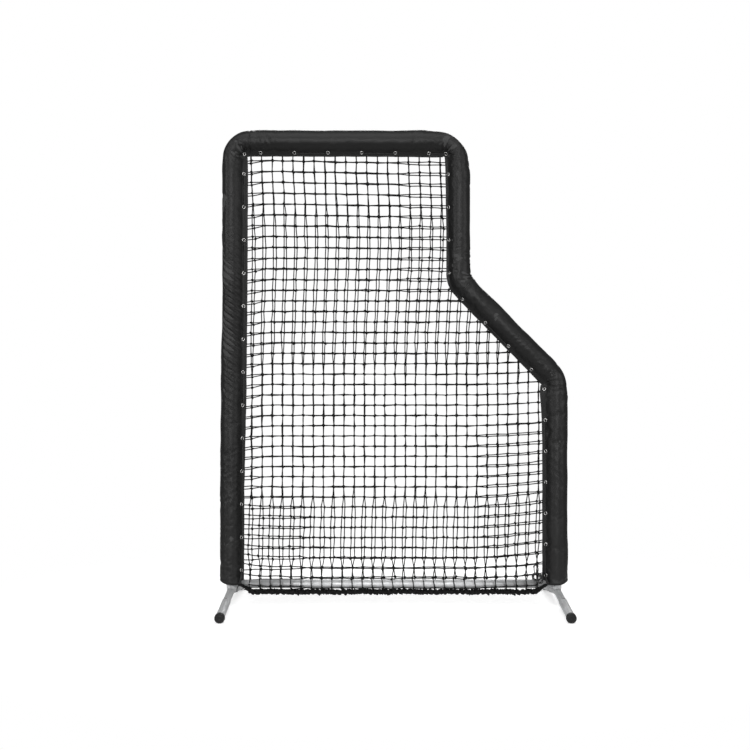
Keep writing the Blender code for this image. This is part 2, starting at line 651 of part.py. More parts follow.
def build_arm(name, foot, tube, plane, facing):
    slope = foot_slope()
    reach, height = foot_point(FOOT_REST - CAP_REACH * math.cos(slope) + CAP_RADIUS * math.sin(slope))
    mesh = round_sweep(f"{name}_arm", [foot_point(ARM_START), (reach, height)], ARM_RADIUS)
    arm = add_part(f"{name}_arm", mesh, "galvanised", plane_place(plane, foot.location), foot)
    give_wall(arm, ARM_WALL)
    upward = Vector((0, facing * math.sin(slope), math.cos(slope)))
    middle_reach, middle_height = foot_point(ARM_START + ARM_OVERLAP / 2)
    seat = foot.location + Vector((0, facing * middle_reach, middle_height)) + (ARM_RADIUS + GAP) * upward
    place = along(seat, upward)
    screw_part(f"{name}_arm_screw", place, foot)
    holes = add_cutter(f"{name}_arm_hole", screw_bores(name, [place]))
    cut(arm, holes)
    cut(tube, holes)
    tip = foot.location + Vector((0, facing * reach, height))
    profile = [
        (0, GAP + CAP_END),
        (CAP_RADIUS - CAP_EDGE, GAP + CAP_END),
        (CAP_RADIUS, GAP + CAP_END - CAP_EDGE),
        (CAP_RADIUS, -CAP_DEPTH),
        (ARM_RADIUS + GAP, -CAP_DEPTH),
        (ARM_RADIUS + GAP, GAP),
        (0, GAP),
    ]
    axis = (0, facing * math.cos(slope), -math.sin(slope))
    cap = turned(f"{name}_cap", profile, "rubber", along(tip, axis), foot)
    cut(cap, FLOOR)


def floor_cutter():
    """A block under the floor, which flattens the caps where they stand."""
    mesh = bpy.data.meshes.new("floor")
    bm = bmesh.new()
    size = Matrix.Diagonal((2 * FRAME_WIDTH, 4 * FOOT_REST, OVERRUN, 1))
    bmesh.ops.create_cube(bm, size=1, matrix=Matrix.Translation((0, 0, -OVERRUN / 2)) @ size)
    bm.to_mesh(mesh)
    bm.free()
    return add_cutter("floor", mesh)


FLOOR = floor_cutter()
build_pads(build_frame())
build_net()
build_rope()
build_foot("left", LEFT)
build_foot("right", RIGHT)
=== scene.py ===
# %% [markdown]
# # A baseball L-screen
#
# A pitcher throws from behind this screen. A bent steel tube carries black padded covers, and a
# knotted net is laced into them all round. The notch at the upper right is where the ball leaves.
# Two steel feet slip into the uprights. This lesson dresses the plain CAD model of the screen: each
# cell makes one kind of piece, from the covers and the net down to the eyelets.

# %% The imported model
import math

import bmesh
import bpy
import numpy as np
from mathutils import Matrix, Vector


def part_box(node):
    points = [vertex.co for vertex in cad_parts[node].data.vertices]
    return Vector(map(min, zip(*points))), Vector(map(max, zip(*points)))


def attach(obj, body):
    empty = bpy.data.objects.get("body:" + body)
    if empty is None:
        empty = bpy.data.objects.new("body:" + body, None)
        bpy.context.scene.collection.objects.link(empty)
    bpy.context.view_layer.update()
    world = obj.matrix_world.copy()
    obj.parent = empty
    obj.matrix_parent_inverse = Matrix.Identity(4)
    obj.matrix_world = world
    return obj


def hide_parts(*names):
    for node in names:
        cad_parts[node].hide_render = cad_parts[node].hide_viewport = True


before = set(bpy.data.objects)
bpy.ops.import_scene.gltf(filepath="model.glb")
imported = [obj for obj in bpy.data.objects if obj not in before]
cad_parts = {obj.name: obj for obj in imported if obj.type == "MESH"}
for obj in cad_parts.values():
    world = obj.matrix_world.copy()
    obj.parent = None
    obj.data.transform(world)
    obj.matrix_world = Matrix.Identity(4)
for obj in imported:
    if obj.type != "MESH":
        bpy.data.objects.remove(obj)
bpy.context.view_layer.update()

# %% [markdown]
# ## Sizes
#
# Most sizes are read off the CAD nodes' boxes, so that every new piece lands on what carries it.
# The few that a box can't tell are the CAD model's own dimensions, in metres.

# %% Sizes of the screen


def middle(node):
    low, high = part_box(node)
    return (low + high) / 2


LEFT, RIGHT = middle("left_lower_tube").x, middle("right_lower_tube").x
SIDES, ENDS = (("left", LEFT), ("right", RIGHT)), (("front", -1), ("rear", 1))
UPPER_RIGHT = middle("upper_right_splice_sleeve").x
TUBE_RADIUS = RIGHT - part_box("right_lower_tube")[0].x
PAD_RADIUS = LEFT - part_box("left_cover")[0].x
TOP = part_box("top_left_tube")[1].z - TUBE_RADIUS
PAD_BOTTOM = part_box("left_cover")[0].z
RAIL_HEIGHT = middle("bottom_rail_tube").z
KINK_HEIGHT = 1.480
LOWER_KINK_HEIGHT = KINK_HEIGHT - (RIGHT - UPPER_RIGHT)
FLAP_REACH = 0.068  # from the tube's centre to the edge of a cover's flaps
FLAP_HALF = 0.0047  # half the thickness of the two flaps and the net between them
BEND_RADIUS = 0.075
EYELET_REACH = 0.0545
PAD_TAIL = 0.012  # a cover ends this far past its bend
SEAM_GAP = 0.0003
print("tube radius", round(TUBE_RADIUS, 5), "pad radius", round(PAD_RADIUS, 5), "top", round(TOP, 4))

# %% [markdown]
# ## Node trees written as expressions
#
# Shader and geometry trees are both graphs of small nodes. Wrapping an output in a class whose
# operators add Math nodes lets a bump or a stripe be written the way it is thought of. Every other
# node comes from one method, add, which takes its type, its settings and its sockets.

# %% A value and a graph


class Value:
    """One output of a node. Arithmetic on it adds Math nodes to the same graph."""

    def __init__(self, graph, node, output=0):
        self.graph, self.node, self.socket = graph, node, node.outputs[output]

    def out(self, output):
        return Value(self.graph, self.node, output)

    def __add__(self, other):
        return self.graph.maths("ADD", self, other)

    def __sub__(self, other):
        return self.graph.maths("SUBTRACT", self, other)

    def __rsub__(self, other):
        return self.graph.maths("SUBTRACT", other, self)

    def __mul__(self, other):
        return self.graph.maths("MULTIPLY", self, other)

    __radd__ = __add__
    __rmul__ = __mul__


class Graph:
    """A node tree that is being built."""

    def __init__(self, tree):
        self.tree = tree

    def add(self, kind, settings=None, sockets=None, output=0):
        node = self.tree.nodes.new(kind)
        for name, value in (settings or {}).items():
            if name == "stops":
                self.set_stops(node.color_ramp, value)
            else:
                setattr(node, name, value)
        for key, value in (sockets or {}).items():
            self.give(node.inputs[key], value)
        return Value(self, node, output)

    def give(self, socket, value):
        """A socket gets a link or a plain value."""
        if isinstance(value, Value):
            self.tree.links.new(value.socket, socket)
        else:
            socket.default_value = value

    def set_stops(self, ramp, stops):
        while len(ramp.elements) < len(stops):
            ramp.elements.new(1.0)
        for element, (position, grey) in zip(ramp.elements, stops):
            element.position, element.color = position, (grey, grey, grey, 1.0)

    def maths(self, operation, *values):
        return self.add("ShaderNodeMath", {"operation": operation}, dict(enumerate(values)))

    def mix(self, share, first, second):
        """A colour between two, as colours go through Mix and not through Math."""
        return self.add("ShaderNodeMix", {"data_type": "RGBA"}, {0: share, 6: first, 7: second}, 2)


# %% [markdown]
# ## Materials
#
# A material is one Principled BSDF. The helper takes a function that builds what varies, and sets
# plain numbers on the shader's own sockets. Patterns read Object coordinates or an attribute that
# the piece carries, so they stay put when the piece moves.

# %% Material helpers


def grey(level, warmth=0.0):
    return (level * (1 + warmth), level, level * (1 - warmth), 1.0)


class Surface(Graph):
    """The graph of one material, with the textures that several finishes share."""

    def place(self):
        return self.add("ShaderNodeTexCoord", output="Object")

    def noise(self, scale, detail=4.0, roughness=0.55, where=None, distortion=0.0):
        sockets = {"Vector": where or self.place(), "Scale": scale, "Detail": detail}
        sockets.update({"Roughness": roughness, "Distortion": distortion})
        return self.add("ShaderNodeTexNoise", {}, sockets)

    def cells(self, scale, output=0):
        return self.add("ShaderNodeTexVoronoi", {}, {"Vector": self.place(), "Scale": scale}, output)

    def bump(self, height, distance, strength=1.0, under=None):
        sockets = {"Height": height, "Distance": distance, "Strength": strength}
        if under:
            sockets["Normal"] = under
        return self.add("ShaderNodeBump", {}, sockets)

    def ramp(self, value, *stops):
        return self.add("ShaderNodeValToRGB", {"stops": stops}, {"Fac": value})


def make_finish(name, build, **constants):
    material = bpy.data.materials.new(name)
    material.use_nodes = True
    surface = Surface(material.node_tree)
    sockets = dict(build(surface))
    sockets.update({key.replace("_", " "): value for key, value in constants.items()})
    for key, value in sockets.items():
        surface.give(material.node_tree.nodes["Principled BSDF"].inputs[key], value)
    return material


# %% [markdown]
# ### Coated vinyl and foam
#
# The covers are woven polyester coated with black PVC: a pebble grain and, faintly, the square
# scrim under it, which follows the cloth on its UV map in metres. Slow patches of roughness stand
# for handling, and pale scuffs for dirt. The foam shows only at the covers' open ends, where its
# cut face is full of small cells.

# %% Coated vinyl and foam
SCRIM_PITCH = 0.0011


def vinyl(surface):
    cloth = surface.add("ShaderNodeUVMap", {"uv_map": "cloth"})
    parts = surface.add("ShaderNodeSeparateXYZ", {}, {0: cloth})
    turn = 2 * math.pi / SCRIM_PITCH
    scrim = surface.maths("SINE", parts.out("X") * turn) * surface.maths("SINE", parts.out("Y") * turn)
    grain, pebble = surface.noise(1500.0, 3.0), surface.cells(900.0)
    patches = surface.noise(9.0, 5.0, 0.6)
    scuffs = surface.ramp(surface.noise(38.0, 8.0, 0.72, distortion=0.6), (0.60, 0.0), (0.74, 1.0))
    dust = scuffs * surface.ramp(patches, (0.50, 0.0), (0.66, 1.0))
    black = surface.mix(patches, grey(0.006, 0.01), grey(0.01))
    colour = surface.mix(dust * 0.35, black, grey(0.04, 0.03))
    fine = surface.bump(scrim * 0.5 + pebble * 0.5, 0.00006, 0.5)
    normal = surface.bump(grain, 0.00012, 0.6, under=fine)
    return {"Base Color": colour, "Roughness": 0.40 + patches * 0.10 + dust * 0.12, "Normal": normal}


def foam(surface):
    cells = surface.cells(620.0)
    normal = surface.bump(cells + surface.noise(300.0) * 0.6, 0.0006, 0.8)
    return {"Base Color": surface.mix(cells, grey(0.022), grey(0.06)), "Normal": normal}


VINYL = make_finish("coated_vinyl", vinyl, Specular_IOR_Level=0.28)
FOAM = make_finish("closed_cell_foam", foam, Roughness=0.92)
print("made", VINYL.name, FOAM.name)

# %% [markdown]
# ### Twine and cord
#
# The net is twisted twine and the laces are braided cord. Both patterns follow the strand. The
# geometry tree that makes a strand stores how far along it each point lies (run) and the direction
# of its skin (ring). Together they give slanting plies, and two slants that cross give a braid.

# %% Twine and cord
TWINE_LAY, BRAID_PITCH = 0.0075, 0.0032


def along_strand(surface):
    run = surface.add("ShaderNodeAttribute", {"attribute_name": "run"}, output="Fac")
    ring = surface.add("ShaderNodeAttribute", {"attribute_name": "ring"}, output="Vector")
    parts = surface.add("ShaderNodeSeparateXYZ", {}, {0: ring})
    return run, surface.maths("ARCTAN2", parts.out("Y"), parts.out("X"))


def twine(surface):
    run, angle = along_strand(surface)
    plies = surface.maths("SINE", run * (2 * math.pi / TWINE_LAY) + angle * 3.0)
    tone = surface.mix(surface.noise(60.0), grey(0.002), grey(0.008))
    fuzz = surface.noise(1800.0, 2.0)
    return {"Base Color": tone, "Normal": surface.bump(plies + fuzz * 0.7, 0.00035, 0.9)}


def braid(surface):
    run, angle = along_strand(surface)
    turn = 2 * math.pi / BRAID_PITCH
    left = surface.maths("SINE", run * turn + angle * 4.0)
    right = surface.maths("SINE", run * turn - angle * 4.0)
    tone = surface.mix(surface.noise(90.0), grey(0.018), grey(0.042))
    return {"Base Color": tone, "Normal": surface.bump(surface.maths("MAXIMUM", left, right), 0.0003, 0.9)}


TWINE = make_finish("net_twine", twine, Roughness=0.70, Specular_IOR_Level=0.18)
BRAID = make_finish("braided_cord", braid, Roughness=0.60, Specular_IOR_Level=0.25)
THREAD = make_finish("sewing_thread", lambda surface: {"Base Color": grey(0.035)}, Roughness=0.6)
print("made", TWINE.name, BRAID.name, THREAD.name)

# %% [markdown]
# ### Galvanised steel, zinc and plastic
#
# Hot-dip zinc freezes into flat crystals, the spangle. Voronoi cells of random colour, softened by
# noise, drive the colour and the roughness, so the crystals show in the sheen more than in the
# tone. Noise stretched along the tube, on its own UV map, gives the streaks of runs and handling.

# %% Galvanised steel, zinc and the caps' plastic
STREAK_SCALE = (9.0, 420.0, 1.0)


def galvanised(surface):
    spangle = surface.add("ShaderNodeSeparateXYZ", {}, {0: surface.cells(150.0, "Color")})
    cloud = surface.noise(26.0, 6.0, 0.62)
    drawn = surface.add("ShaderNodeUVMap", {"uv_map": "cloth"})
    drawn = surface.add("ShaderNodeVectorMath", {"operation": "MULTIPLY"}, {0: drawn, 1: STREAK_SCALE})
    streaks = surface.ramp(surface.noise(1.0, 5.0, 0.6, where=drawn), (0.40, 0.0), (0.62, 1.0))
    stains = surface.ramp(surface.noise(11.0, 7.0, 0.7, distortion=0.4), (0.56, 0.0), (0.72, 1.0))
    bright = surface.mix(spangle * 0.4 + cloud * 0.6, grey(0.52, -0.01), grey(0.82, -0.012))
    dulled = surface.mix(streaks * 0.40, bright, grey(0.30, 0.01))
    colour = surface.mix(stains * 0.35, dulled, grey(0.26, 0.02))
    roughness = 0.40 + spangle.out("Y") * 0.12 + streaks * 0.15
    normal = surface.bump(surface.noise(260.0) + spangle.out("Z") * 0.25, 0.00012, 0.6)
    return {"Base Color": colour, "Roughness": roughness, "Normal": normal}


def zinc(surface):
    cloud = surface.noise(180.0, 5.0, 0.6)
    colour = surface.mix(cloud, grey(0.38, 0.01), grey(0.55, 0.015))
    normal = surface.bump(surface.noise(700.0, 3.0), 0.00005, 0.5)
    return {"Base Color": colour, "Roughness": 0.16 + cloud * 0.16, "Normal": normal}


def moulded(surface):
    wear = surface.ramp(surface.noise(75.0, 7.0, 0.7), (0.55, 0.0), (0.70, 1.0))
    colour = surface.mix(wear * 0.4, grey(0.008), grey(0.035, 0.02))
    normal = surface.bump(surface.noise(1300.0, 3.0), 0.0001, 0.6)
    return {"Base Color": colour, "Roughness": 0.46 + wear * 0.2, "Normal": normal}


GALVANISED = make_finish("galvanised_steel", galvanised, Metallic=0.55)
ZINC = make_finish("bright_zinc", zinc, Metallic=1.0)
MOULDED = make_finish("moulded_cap", moulded, Specular_IOR_Level=0.30)
print("materials", len(bpy.data.materials))

# %% [markdown]
# ## The line of the tube
#
# Everything in the frame's plane hangs on one line: up the left upright, across the top, down to
# the notch, along the slope and down the right upright, with round corners. It is kept as a table
# of arc length, place and heading, so a piece only says how far along and how far inwards it lies.

# %% The line with round corners
ARC_STEP = math.radians(1)
corners = [(LEFT, PAD_BOTTOM), (LEFT, TOP), (UPPER_RIGHT, TOP), (UPPER_RIGHT, KINK_HEIGHT)]
corners = [Vector(corner) for corner in corners + [(RIGHT, LOWER_KINK_HEIGHT), (RIGHT, PAD_BOTTOM)]]


def line_rows():
    """(arc length, x, z, heading) down the line, and the arc lengths where each bend starts and ends."""
    heading = math.atan2(corners[1].y - corners[0].y, corners[1].x - corners[0].x)
    rows, bends, here, run = [(0.0, *corners[0], heading)], [], corners[0], 0.0
    for corner, after in zip(corners[1:], corners[2:]):
        arriving, leaving = (corner - here).normalized(), (after - corner).normalized()
        turn = -arriving.angle_signed(leaving)
        start = corner - arriving * BEND_RADIUS * math.tan(abs(turn) / 2)
        centre = start + Vector((-arriving.y, arriving.x)) * math.copysign(BEND_RADIUS, turn)
        run += (start - here).length
        steps = round(abs(turn) / ARC_STEP)
        for step in range(steps + 1):
            part = turn * step / steps
            spoke = start - centre
            spoke.rotate(Matrix.Rotation(part, 2))
            rows.append((run + BEND_RADIUS * abs(part), *(centre + spoke), heading + part))
        bends.append((run, rows[-1][0]))
        here, run, heading = Vector(rows[-1][1:3]), rows[-1][0], heading + turn
    rows.append((run + (corners[-1] - here).length, *corners[-1], heading))
    return np.array(rows), bends


LINE, BENDS = line_rows()
LINE_LENGTH = LINE[-1, 0]


def lay(run, inward, forward):
    """World points at an arc length, a distance in from the line and one towards the front."""
    x, z, heading = (np.interp(run, LINE[:, 0], LINE[:, k]) for k in (1, 2, 3))
    x, z = x + inward * np.sin(heading), z - inward * np.cos(heading)
    return np.stack(np.broadcast_arrays(x, -np.asarray(forward, float), z), axis=-1)


def arc_lengths(points):
    """How far along a row of points each one lies."""
    return np.concatenate([[0], np.cumsum(np.linalg.norm(np.diff(points, axis=0), axis=1))])


print("line", round(LINE_LENGTH, 3), "m, bends at", [round(a, 3) for a, _ in BENDS])

# %% [markdown]
# ## Meshes from rings
#
# Covers, foam, tubes and caps are all lofts: rows of points with the same count, joined by quads.
# Rows may close on themselves, and so may the columns, which makes the wall of a tube.

# %% Loft helper


def loft(name, points, close_rows=False, close_columns=True, missing=(), uv=None, caps=()):
    """A mesh from a (rows, columns, 3) block of points, and a UV map in metres from a block of uv.

    The uv block has one more row or column than the points where those close on themselves.
    """
    rows, columns = points.shape[:2]
    down = np.arange(rows if close_rows else rows - 1)
    side = np.arange(columns if close_columns else columns - 1)
    i, j = (grid.ravel() for grid in np.meshgrid(down, side, indexing="ij"))
    cells = list(zip(i.tolist(), j.tolist()))

    def quads(i2, j2, wide):
        faces = np.stack([i * wide + j, i * wide + j2, i2 * wide + j2, i2 * wide + j], axis=-1)
        return [face for face, cell in zip(faces.tolist(), cells) if cell not in missing]

    mesh = bpy.data.meshes.new(name)
    faces = quads((i + 1) % rows, (j + 1) % columns, columns)
    mesh.from_pydata(points.reshape(-1, 3).tolist(), [], faces + list(caps))
    if uv is not None:
        spots = np.array(quads(i + 1, j + 1, uv.shape[1])).ravel()
        layer = mesh.uv_layers.new(name="cloth")
        layer.uv.foreach_set("vector", uv.reshape(-1, 2)[spots].astype(np.float32).ravel())
    mesh.shade_smooth()
    return mesh


def placed(name, data):
    piece = bpy.data.objects.new(name, data)
    bpy.context.scene.collection.objects.link(piece)
    return piece


def show(name, mesh, material, body, stands_for=()):
    """Puts a finished mesh in the scene, on its body and in place of its CAD nodes."""
    piece = placed(name, mesh)
    if not mesh.materials:
        mesh.materials.append(material)
    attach(piece, body)
    if stands_for:
        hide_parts(*stands_for)
    return piece


def settled(piece):
    """The piece's mesh with its modifiers worked in. The piece itself goes."""
    graph = bpy.context.evaluated_depsgraph_get()
    mesh = bpy.data.meshes.new_from_object(piece.evaluated_get(graph))
    bpy.data.objects.remove(piece)
    return mesh


def cleaned(mesh, seam=1e-6):
    """Doubles merged, and every face turned outwards."""
    bm = bmesh.new()
    bm.from_mesh(mesh)
    bmesh.ops.remove_doubles(bm, verts=bm.verts, dist=seam)
    bmesh.ops.recalc_face_normals(bm, faces=bm.faces)
    bm.to_mesh(mesh)
    bm.free()
    return mesh


# %% [markdown]
# ## The cover's section
#
# A cover is one sheet of vinyl folded round the foam. On the net's side its front and rear flaps
# meet and are laced together, so the section is a drop: a circle whose skin leaves it at a slant
# and then lies flat along the flap. The slant is why the inner side of each pad looks dark.

# %% Section of a cover
LEAVING_ANGLE = math.radians(44)
FLAP_TILT = 0.20  # how much the flap still leans where it ends
LEAVING_PULL, FLAP_PULL = 0.014, 0.015  # how long the curve keeps each end's direction
EYELET_CELL = 0.0046
EDGE_CELLS, SKIN_CELLS = 2, 66


def section_table():
    """Arc length, inward and forward all round, from the rear flap's edge to the front flap's."""
    turn = np.linspace(math.pi, LEAVING_ANGLE, 60)
    arc = np.stack([np.cos(turn), np.sin(turn)], axis=-1) * PAD_RADIUS
    end, slope = np.array([FLAP_REACH, FLAP_HALF]), np.array([1.0, -FLAP_TILT])
    leave = np.array([math.sin(LEAVING_ANGLE), -math.cos(LEAVING_ANGLE)])
    first, last = arc[-1] + leave * LEAVING_PULL, end - slope * FLAP_PULL
    t = np.linspace(0, 1, 40)[1:, None]
    curve = (1 - t) ** 3 * arc[-1] + 3 * t * (1 - t) ** 2 * first + 3 * t**2 * (1 - t) * last + t**3 * end
    half = np.concatenate([arc, curve])
    whole = np.concatenate([(half * (1, -1))[::-1], half[1:]])
    return np.column_stack([arc_lengths(whole), whole])


SECTION = section_table()
GIRTH = SECTION[-1, 0]
front_skin = SECTION[len(SECTION) // 2 :]
EYELET_ACROSS = GIRTH - np.interp(EYELET_REACH, front_skin[:, 1], front_skin[:, 0])  # from the edge


def column_places():
    """Places across the cloth, with one cell centred on each flap's row of eyelets."""
    near, far = EYELET_ACROSS - EYELET_CELL / 2, EYELET_ACROSS + EYELET_CELL / 2
    edge = np.linspace(0, near, EDGE_CELLS + 1)
    return np.concatenate([edge, np.linspace(far, GIRTH - far, SKIN_CELLS + 1), GIRTH - edge[::-1]])


ACROSS = column_places()
print("cloth", round(GIRTH, 4), "m round,", len(ACROSS), "columns")

# %% [markdown]
# ## Pads and eyelets along the line
#
# Five covers follow the line, each a straight stretch and the bend after it. The eyelets sit where
# the CAD holes are: evenly along each straight, with one in the middle of each square corner.

# %% Stretches and eyelets
PADS = ("left", "top", "upper_right", "diagonal", "right")
tails = [end + PAD_TAIL for _, end in BENDS]
tails[-1] -= PAD_TAIL / 2  # the last seam keeps clear of the eyelet after it
STRETCHES = dict(zip(PADS, zip([0.0] + [tail + SEAM_GAP / 3 for tail in tails], tails + [LINE_LENGTH])))
EYELETS_ON = {  # how far the first is after the corner before, the last before the next, how many
    "left": (0.064, 0.153, 13),
    "top": (0.137, 0.138, 6),
    "upper_right": (0.155, 0.032, 4),
    "diagonal": (0.071, 0.112, 4),
    "right": (0.049, 0.041, 7),
}


def eyelet_runs(number, name):
    """Arc lengths of one pad's eyelets. A bend is shorter than its square corner on both sides."""
    first, last, count = EYELETS_ON[name]
    length = (corners[number + 1] - corners[number]).length
    origin = 0.0
    if number:
        start, end = BENDS[number - 1]
        origin = end - BEND_RADIUS * math.tan((end - start) / BEND_RADIUS / 2)
    runs = [origin + (first + (length - first - last) * k / (count - 1)) for k in range(count)]
    return runs + [sum(BENDS[number]) / 2] if name in ("left", "top") else runs


EYELET_RUNS = {name: eyelet_runs(number, name) for number, name in enumerate(PADS)}
ALL_EYELETS = np.array(sorted(sum(EYELET_RUNS.values(), [])))
print(len(ALL_EYELETS), "eyelets on each flap")

# %% [markdown]
# ## How the vinyl lies
#
# A real cover is not a perfect sweep. Cut from flat cloth, it is stretched on the outside of a bend
# and bunched on the inside, and it shows slack ripples where the lace pulls slantwise. Each is a
# height over the smooth skin, from the place along the line and across the cloth.

# %% Shapes of the folds
TOP_LEFT_BEND, TOP_RIGHT_BEND, UPPER_KINK, LOWER_KINK = (sum(bend) / 2 for bend in BENDS)


def smooth(x):
    x = np.clip(x, 0, 1)
    return x * x * (3 - 2 * x)


def bell(x, centre, width):
    return np.exp(-(((x - centre) / width) ** 2))


def crease(x):
    """A row of soft ridges with sharper valleys, one for each unit."""
    return 1 - 2 * np.abs(np.sin(np.pi * x)) ** 0.7


SLOW_WAVES = ((0.31, 0.9, 0.0006), (0.173, -1.3, 0.0004), (0.097, 2.1, 0.0002))  # pitch, lean, height
RIPPLES = (  # middle, half length, pitch, slant across the cloth, height
    (1.21, 0.46, 0.029, 0.66, 0.00410),
    (0.42, 0.25, 0.036, -0.55, 0.00045),
    (2.55, 0.30, 0.052, 0.40, 0.00045),
    (3.45, 0.16, 0.030, -0.60, 0.00090),
    (4.02, 0.22, 0.026, 0.50, 0.00070),
    (4.70, 0.34, 0.041, 0.65, 0.00055),
)
BEND_FOLDS = (  # middle, half length, folds a metre, height, which side is bunched
    (TOP_LEFT_BEND, 0.085, 46.0, 0.0042, 1),
    (TOP_RIGHT_BEND, 0.080, 42.0, 0.0038, 1),
    (UPPER_KINK, 0.050, 50.0, 0.0026, -1),
    (UPPER_KINK - 0.11, 0.040, 60.0, 0.0026, -1),
    (LOWER_KINK, 0.050, 50.0, 0.0022, 1),
)


def fold_height(run, across):
    """Height of the vinyl over its smooth skin."""
    side = across / GIRTH * 2 - 1  # -1 at the rear flap's edge, 1 at the front's
    inner, skin = np.abs(side), across - GIRTH / 2
    height = 0.0
    for pitch, lean, size in SLOW_WAVES:
        height = height + size * np.sin(2 * np.pi * (run + lean * skin) / pitch + pitch * 40)
    for spot, reach, pitch, slant, size in RIPPLES:
        lie = run + slant * skin * np.sign(side) + 0.006 * np.sin(run * 37 + side * 5)
        window = bell(run, spot, reach * 0.72) * bell(inner, 0.50, 0.25)
        height = height + size * window * crease(lie / pitch)
    for spot, reach, rate, size, bunched in BEND_FOLDS:
        share = inner if bunched > 0 else 1 - inner
        lie = (run - spot) * rate * 0.5 * (1 + 0.25 * np.sin(side * 4 + spot)) + 0.6 * side
        window = bell(run, spot, reach) * smooth(share * 1.6 - 0.25) * (1 - smooth((inner - 0.80) / 0.12))
        height = height + size * window * (0.6 * crease(lie) + 0.4 * np.sin(lie * 13 + side * 9))
    return height


# %% [markdown]
# The eyelets pull the flap down and draw short folds out of the skin above them. In between, the
# flap stands off a little. At its hemmed ends a cover turns in, and its doubled band stands proud.

# %% Puckers and hems
PUCKER_REACH, PUCKER_HEIGHT, PULL_DEPTH = 0.017, 0.0009, 0.0022
HEM_WIDTH, HEM_STEP, HEM_RISE, HEM_ROLL, HEM_TURN = 0.016, 0.002, 0.0006, 0.006, 0.0020


def pucker_height(run, across):
    edge = np.minimum(across, GIRTH - across)
    height = 0.0008 * np.sin(run * 61) * (1 - smooth(edge / 0.02)) * np.sign(across - GIRTH / 2)
    for spot in ALL_EYELETS:
        along, up = run - spot, edge - EYELET_ACROSS
        away, turn = np.hypot(along, up), np.arctan2(along, up)
        fan = np.cos(6 * turn + spot * 30) * smooth(away / 0.006) * np.exp(-away / PUCKER_REACH)
        pull = bell(along, 0, 0.010 + up.clip(0) * 0.25) * smooth(up / 0.012) * np.exp(-up.clip(0) / 0.03)
        height = height + PUCKER_HEIGHT * fan - PULL_DEPTH * pull
    return height


def hem_height(run, ends):
    """The hemmed ends of one cover. Where two covers meet flush, the seam stays closed."""
    left = np.minimum.reduce([np.abs(run - end) for end in ends] or [run + 1])
    return smooth((HEM_WIDTH - left) / HEM_STEP) * HEM_RISE - HEM_TURN * (1 - smooth(left / HEM_ROLL))


# %% [markdown]
# The photograph shows where the real cover departs from an even sweep: the foam stops short of the
# square corners, so the vinyl cuts across them, it bridges the hollow of the upper kink, and the
# left cover is turned towards the net near its top. Two lists of (place along the line, size) give
# how far the outer side sinks and how far the flap's edge moves towards the net.

# %% Outer side and flap edge
(LEFT_IN, LEFT_OUT), (RIGHT_IN, RIGHT_OUT) = BENDS[:2]
OUTER_CUTS = (
    *((0.0, 0.0005), (0.75, 0.0010), (1.30, 0.0095)),
    *((LEFT_IN - 0.05, 0.0100), (LEFT_IN + 0.02, 0.0165), (TOP_LEFT_BEND, 0.0150)),
    *((LEFT_OUT, 0.0035), (LEFT_OUT + 0.06, 0.0), (RIGHT_IN - 0.10, 0.0), (RIGHT_IN, 0.0100)),
    *((TOP_RIGHT_BEND, 0.0255), (RIGHT_OUT, 0.0080), (RIGHT_OUT + 0.07, 0.0)),
    *((UPPER_KINK - 0.08, 0.0), (UPPER_KINK - 0.03, -0.0050), (UPPER_KINK, -0.0075)),
    *((UPPER_KINK + 0.03, -0.0050), (UPPER_KINK + 0.08, 0.0)),
    *((LOWER_KINK - 0.08, 0.0), (LOWER_KINK, 0.0085), (LOWER_KINK + 0.08, 0.0010)),
)
FLAP_MOVES = (
    *((0.0, -0.0075), (0.45, -0.0060), (0.85, 0.0030), (1.35, 0.0080)),
    *((LEFT_IN - 0.05, 0.0105), (LEFT_OUT + 0.02, 0.0030), (RIGHT_IN - 0.20, 0.0045)),
    *((RIGHT_IN - 0.03, 0.0080), (RIGHT_IN + 0.01, 0.0050), (RIGHT_OUT + 0.03, -0.0040)),
    *((UPPER_KINK - 0.08, -0.0120), (UPPER_KINK + 0.10, -0.0030)),
    *((LOWER_KINK - 0.02, 0.0030), (LOWER_KINK + 0.03, 0.0065), (LOWER_KINK + 0.06, 0.0120)),
    *((LOWER_KINK + 0.14, 0.0050), (LOWER_KINK + 0.26, 0.0)),
)
FLAP_START = 0.03


def spread(table, run):
    """A smooth reading of a short list along the line."""
    places, values = zip(*table)
    return sum(np.interp(run + shift, places, values) for shift in (-0.02, -0.01, 0, 0.01, 0.02)) / 5


def shaped(run, inward):
    """The distance from the tube's centre with the outer side sunk and the flap moved."""
    core = TUBE_RADIUS + SEAM_GAP
    outer = np.clip((-inward - core) / (PAD_RADIUS - core), 0, 1)
    flap = np.clip((inward - FLAP_START) / (FLAP_REACH - FLAP_START), 0, 1)
    return inward + spread(OUTER_CUTS, run) * outer + spread(FLAP_MOVES, run) * flap


def skin(run, across):
    inward, forward = (np.interp(across, SECTION[:, 0], SECTION[:, k]) for k in (1, 2))
    return lay(run, shaped(run, inward), forward)


# %% [markdown]
# ## Slack from a cloth simulation
#
# Written folds alone look drawn. A short cloth simulation adds the small uneven slack of real
# vinyl: the cover gets 1.5% more cloth than its shape needs, its laced edges and hems are pinned,
# air pressure stands for the foam, and it settles for twenty frames. Only how far each point moves
# is kept, with a cap, and it is added to the finer grid.

# %% Cloth simulation
MOST_SLACK = 0.0013
SIM_FRAMES = 20
CLOTH = dict(quality=5, mass=0.12, tension_stiffness=18, compression_stiffness=18, shear_stiffness=8)
CLOTH.update(bending_stiffness=0.25, use_pressure=True, uniform_pressure_force=4, shrink_min=-0.015)


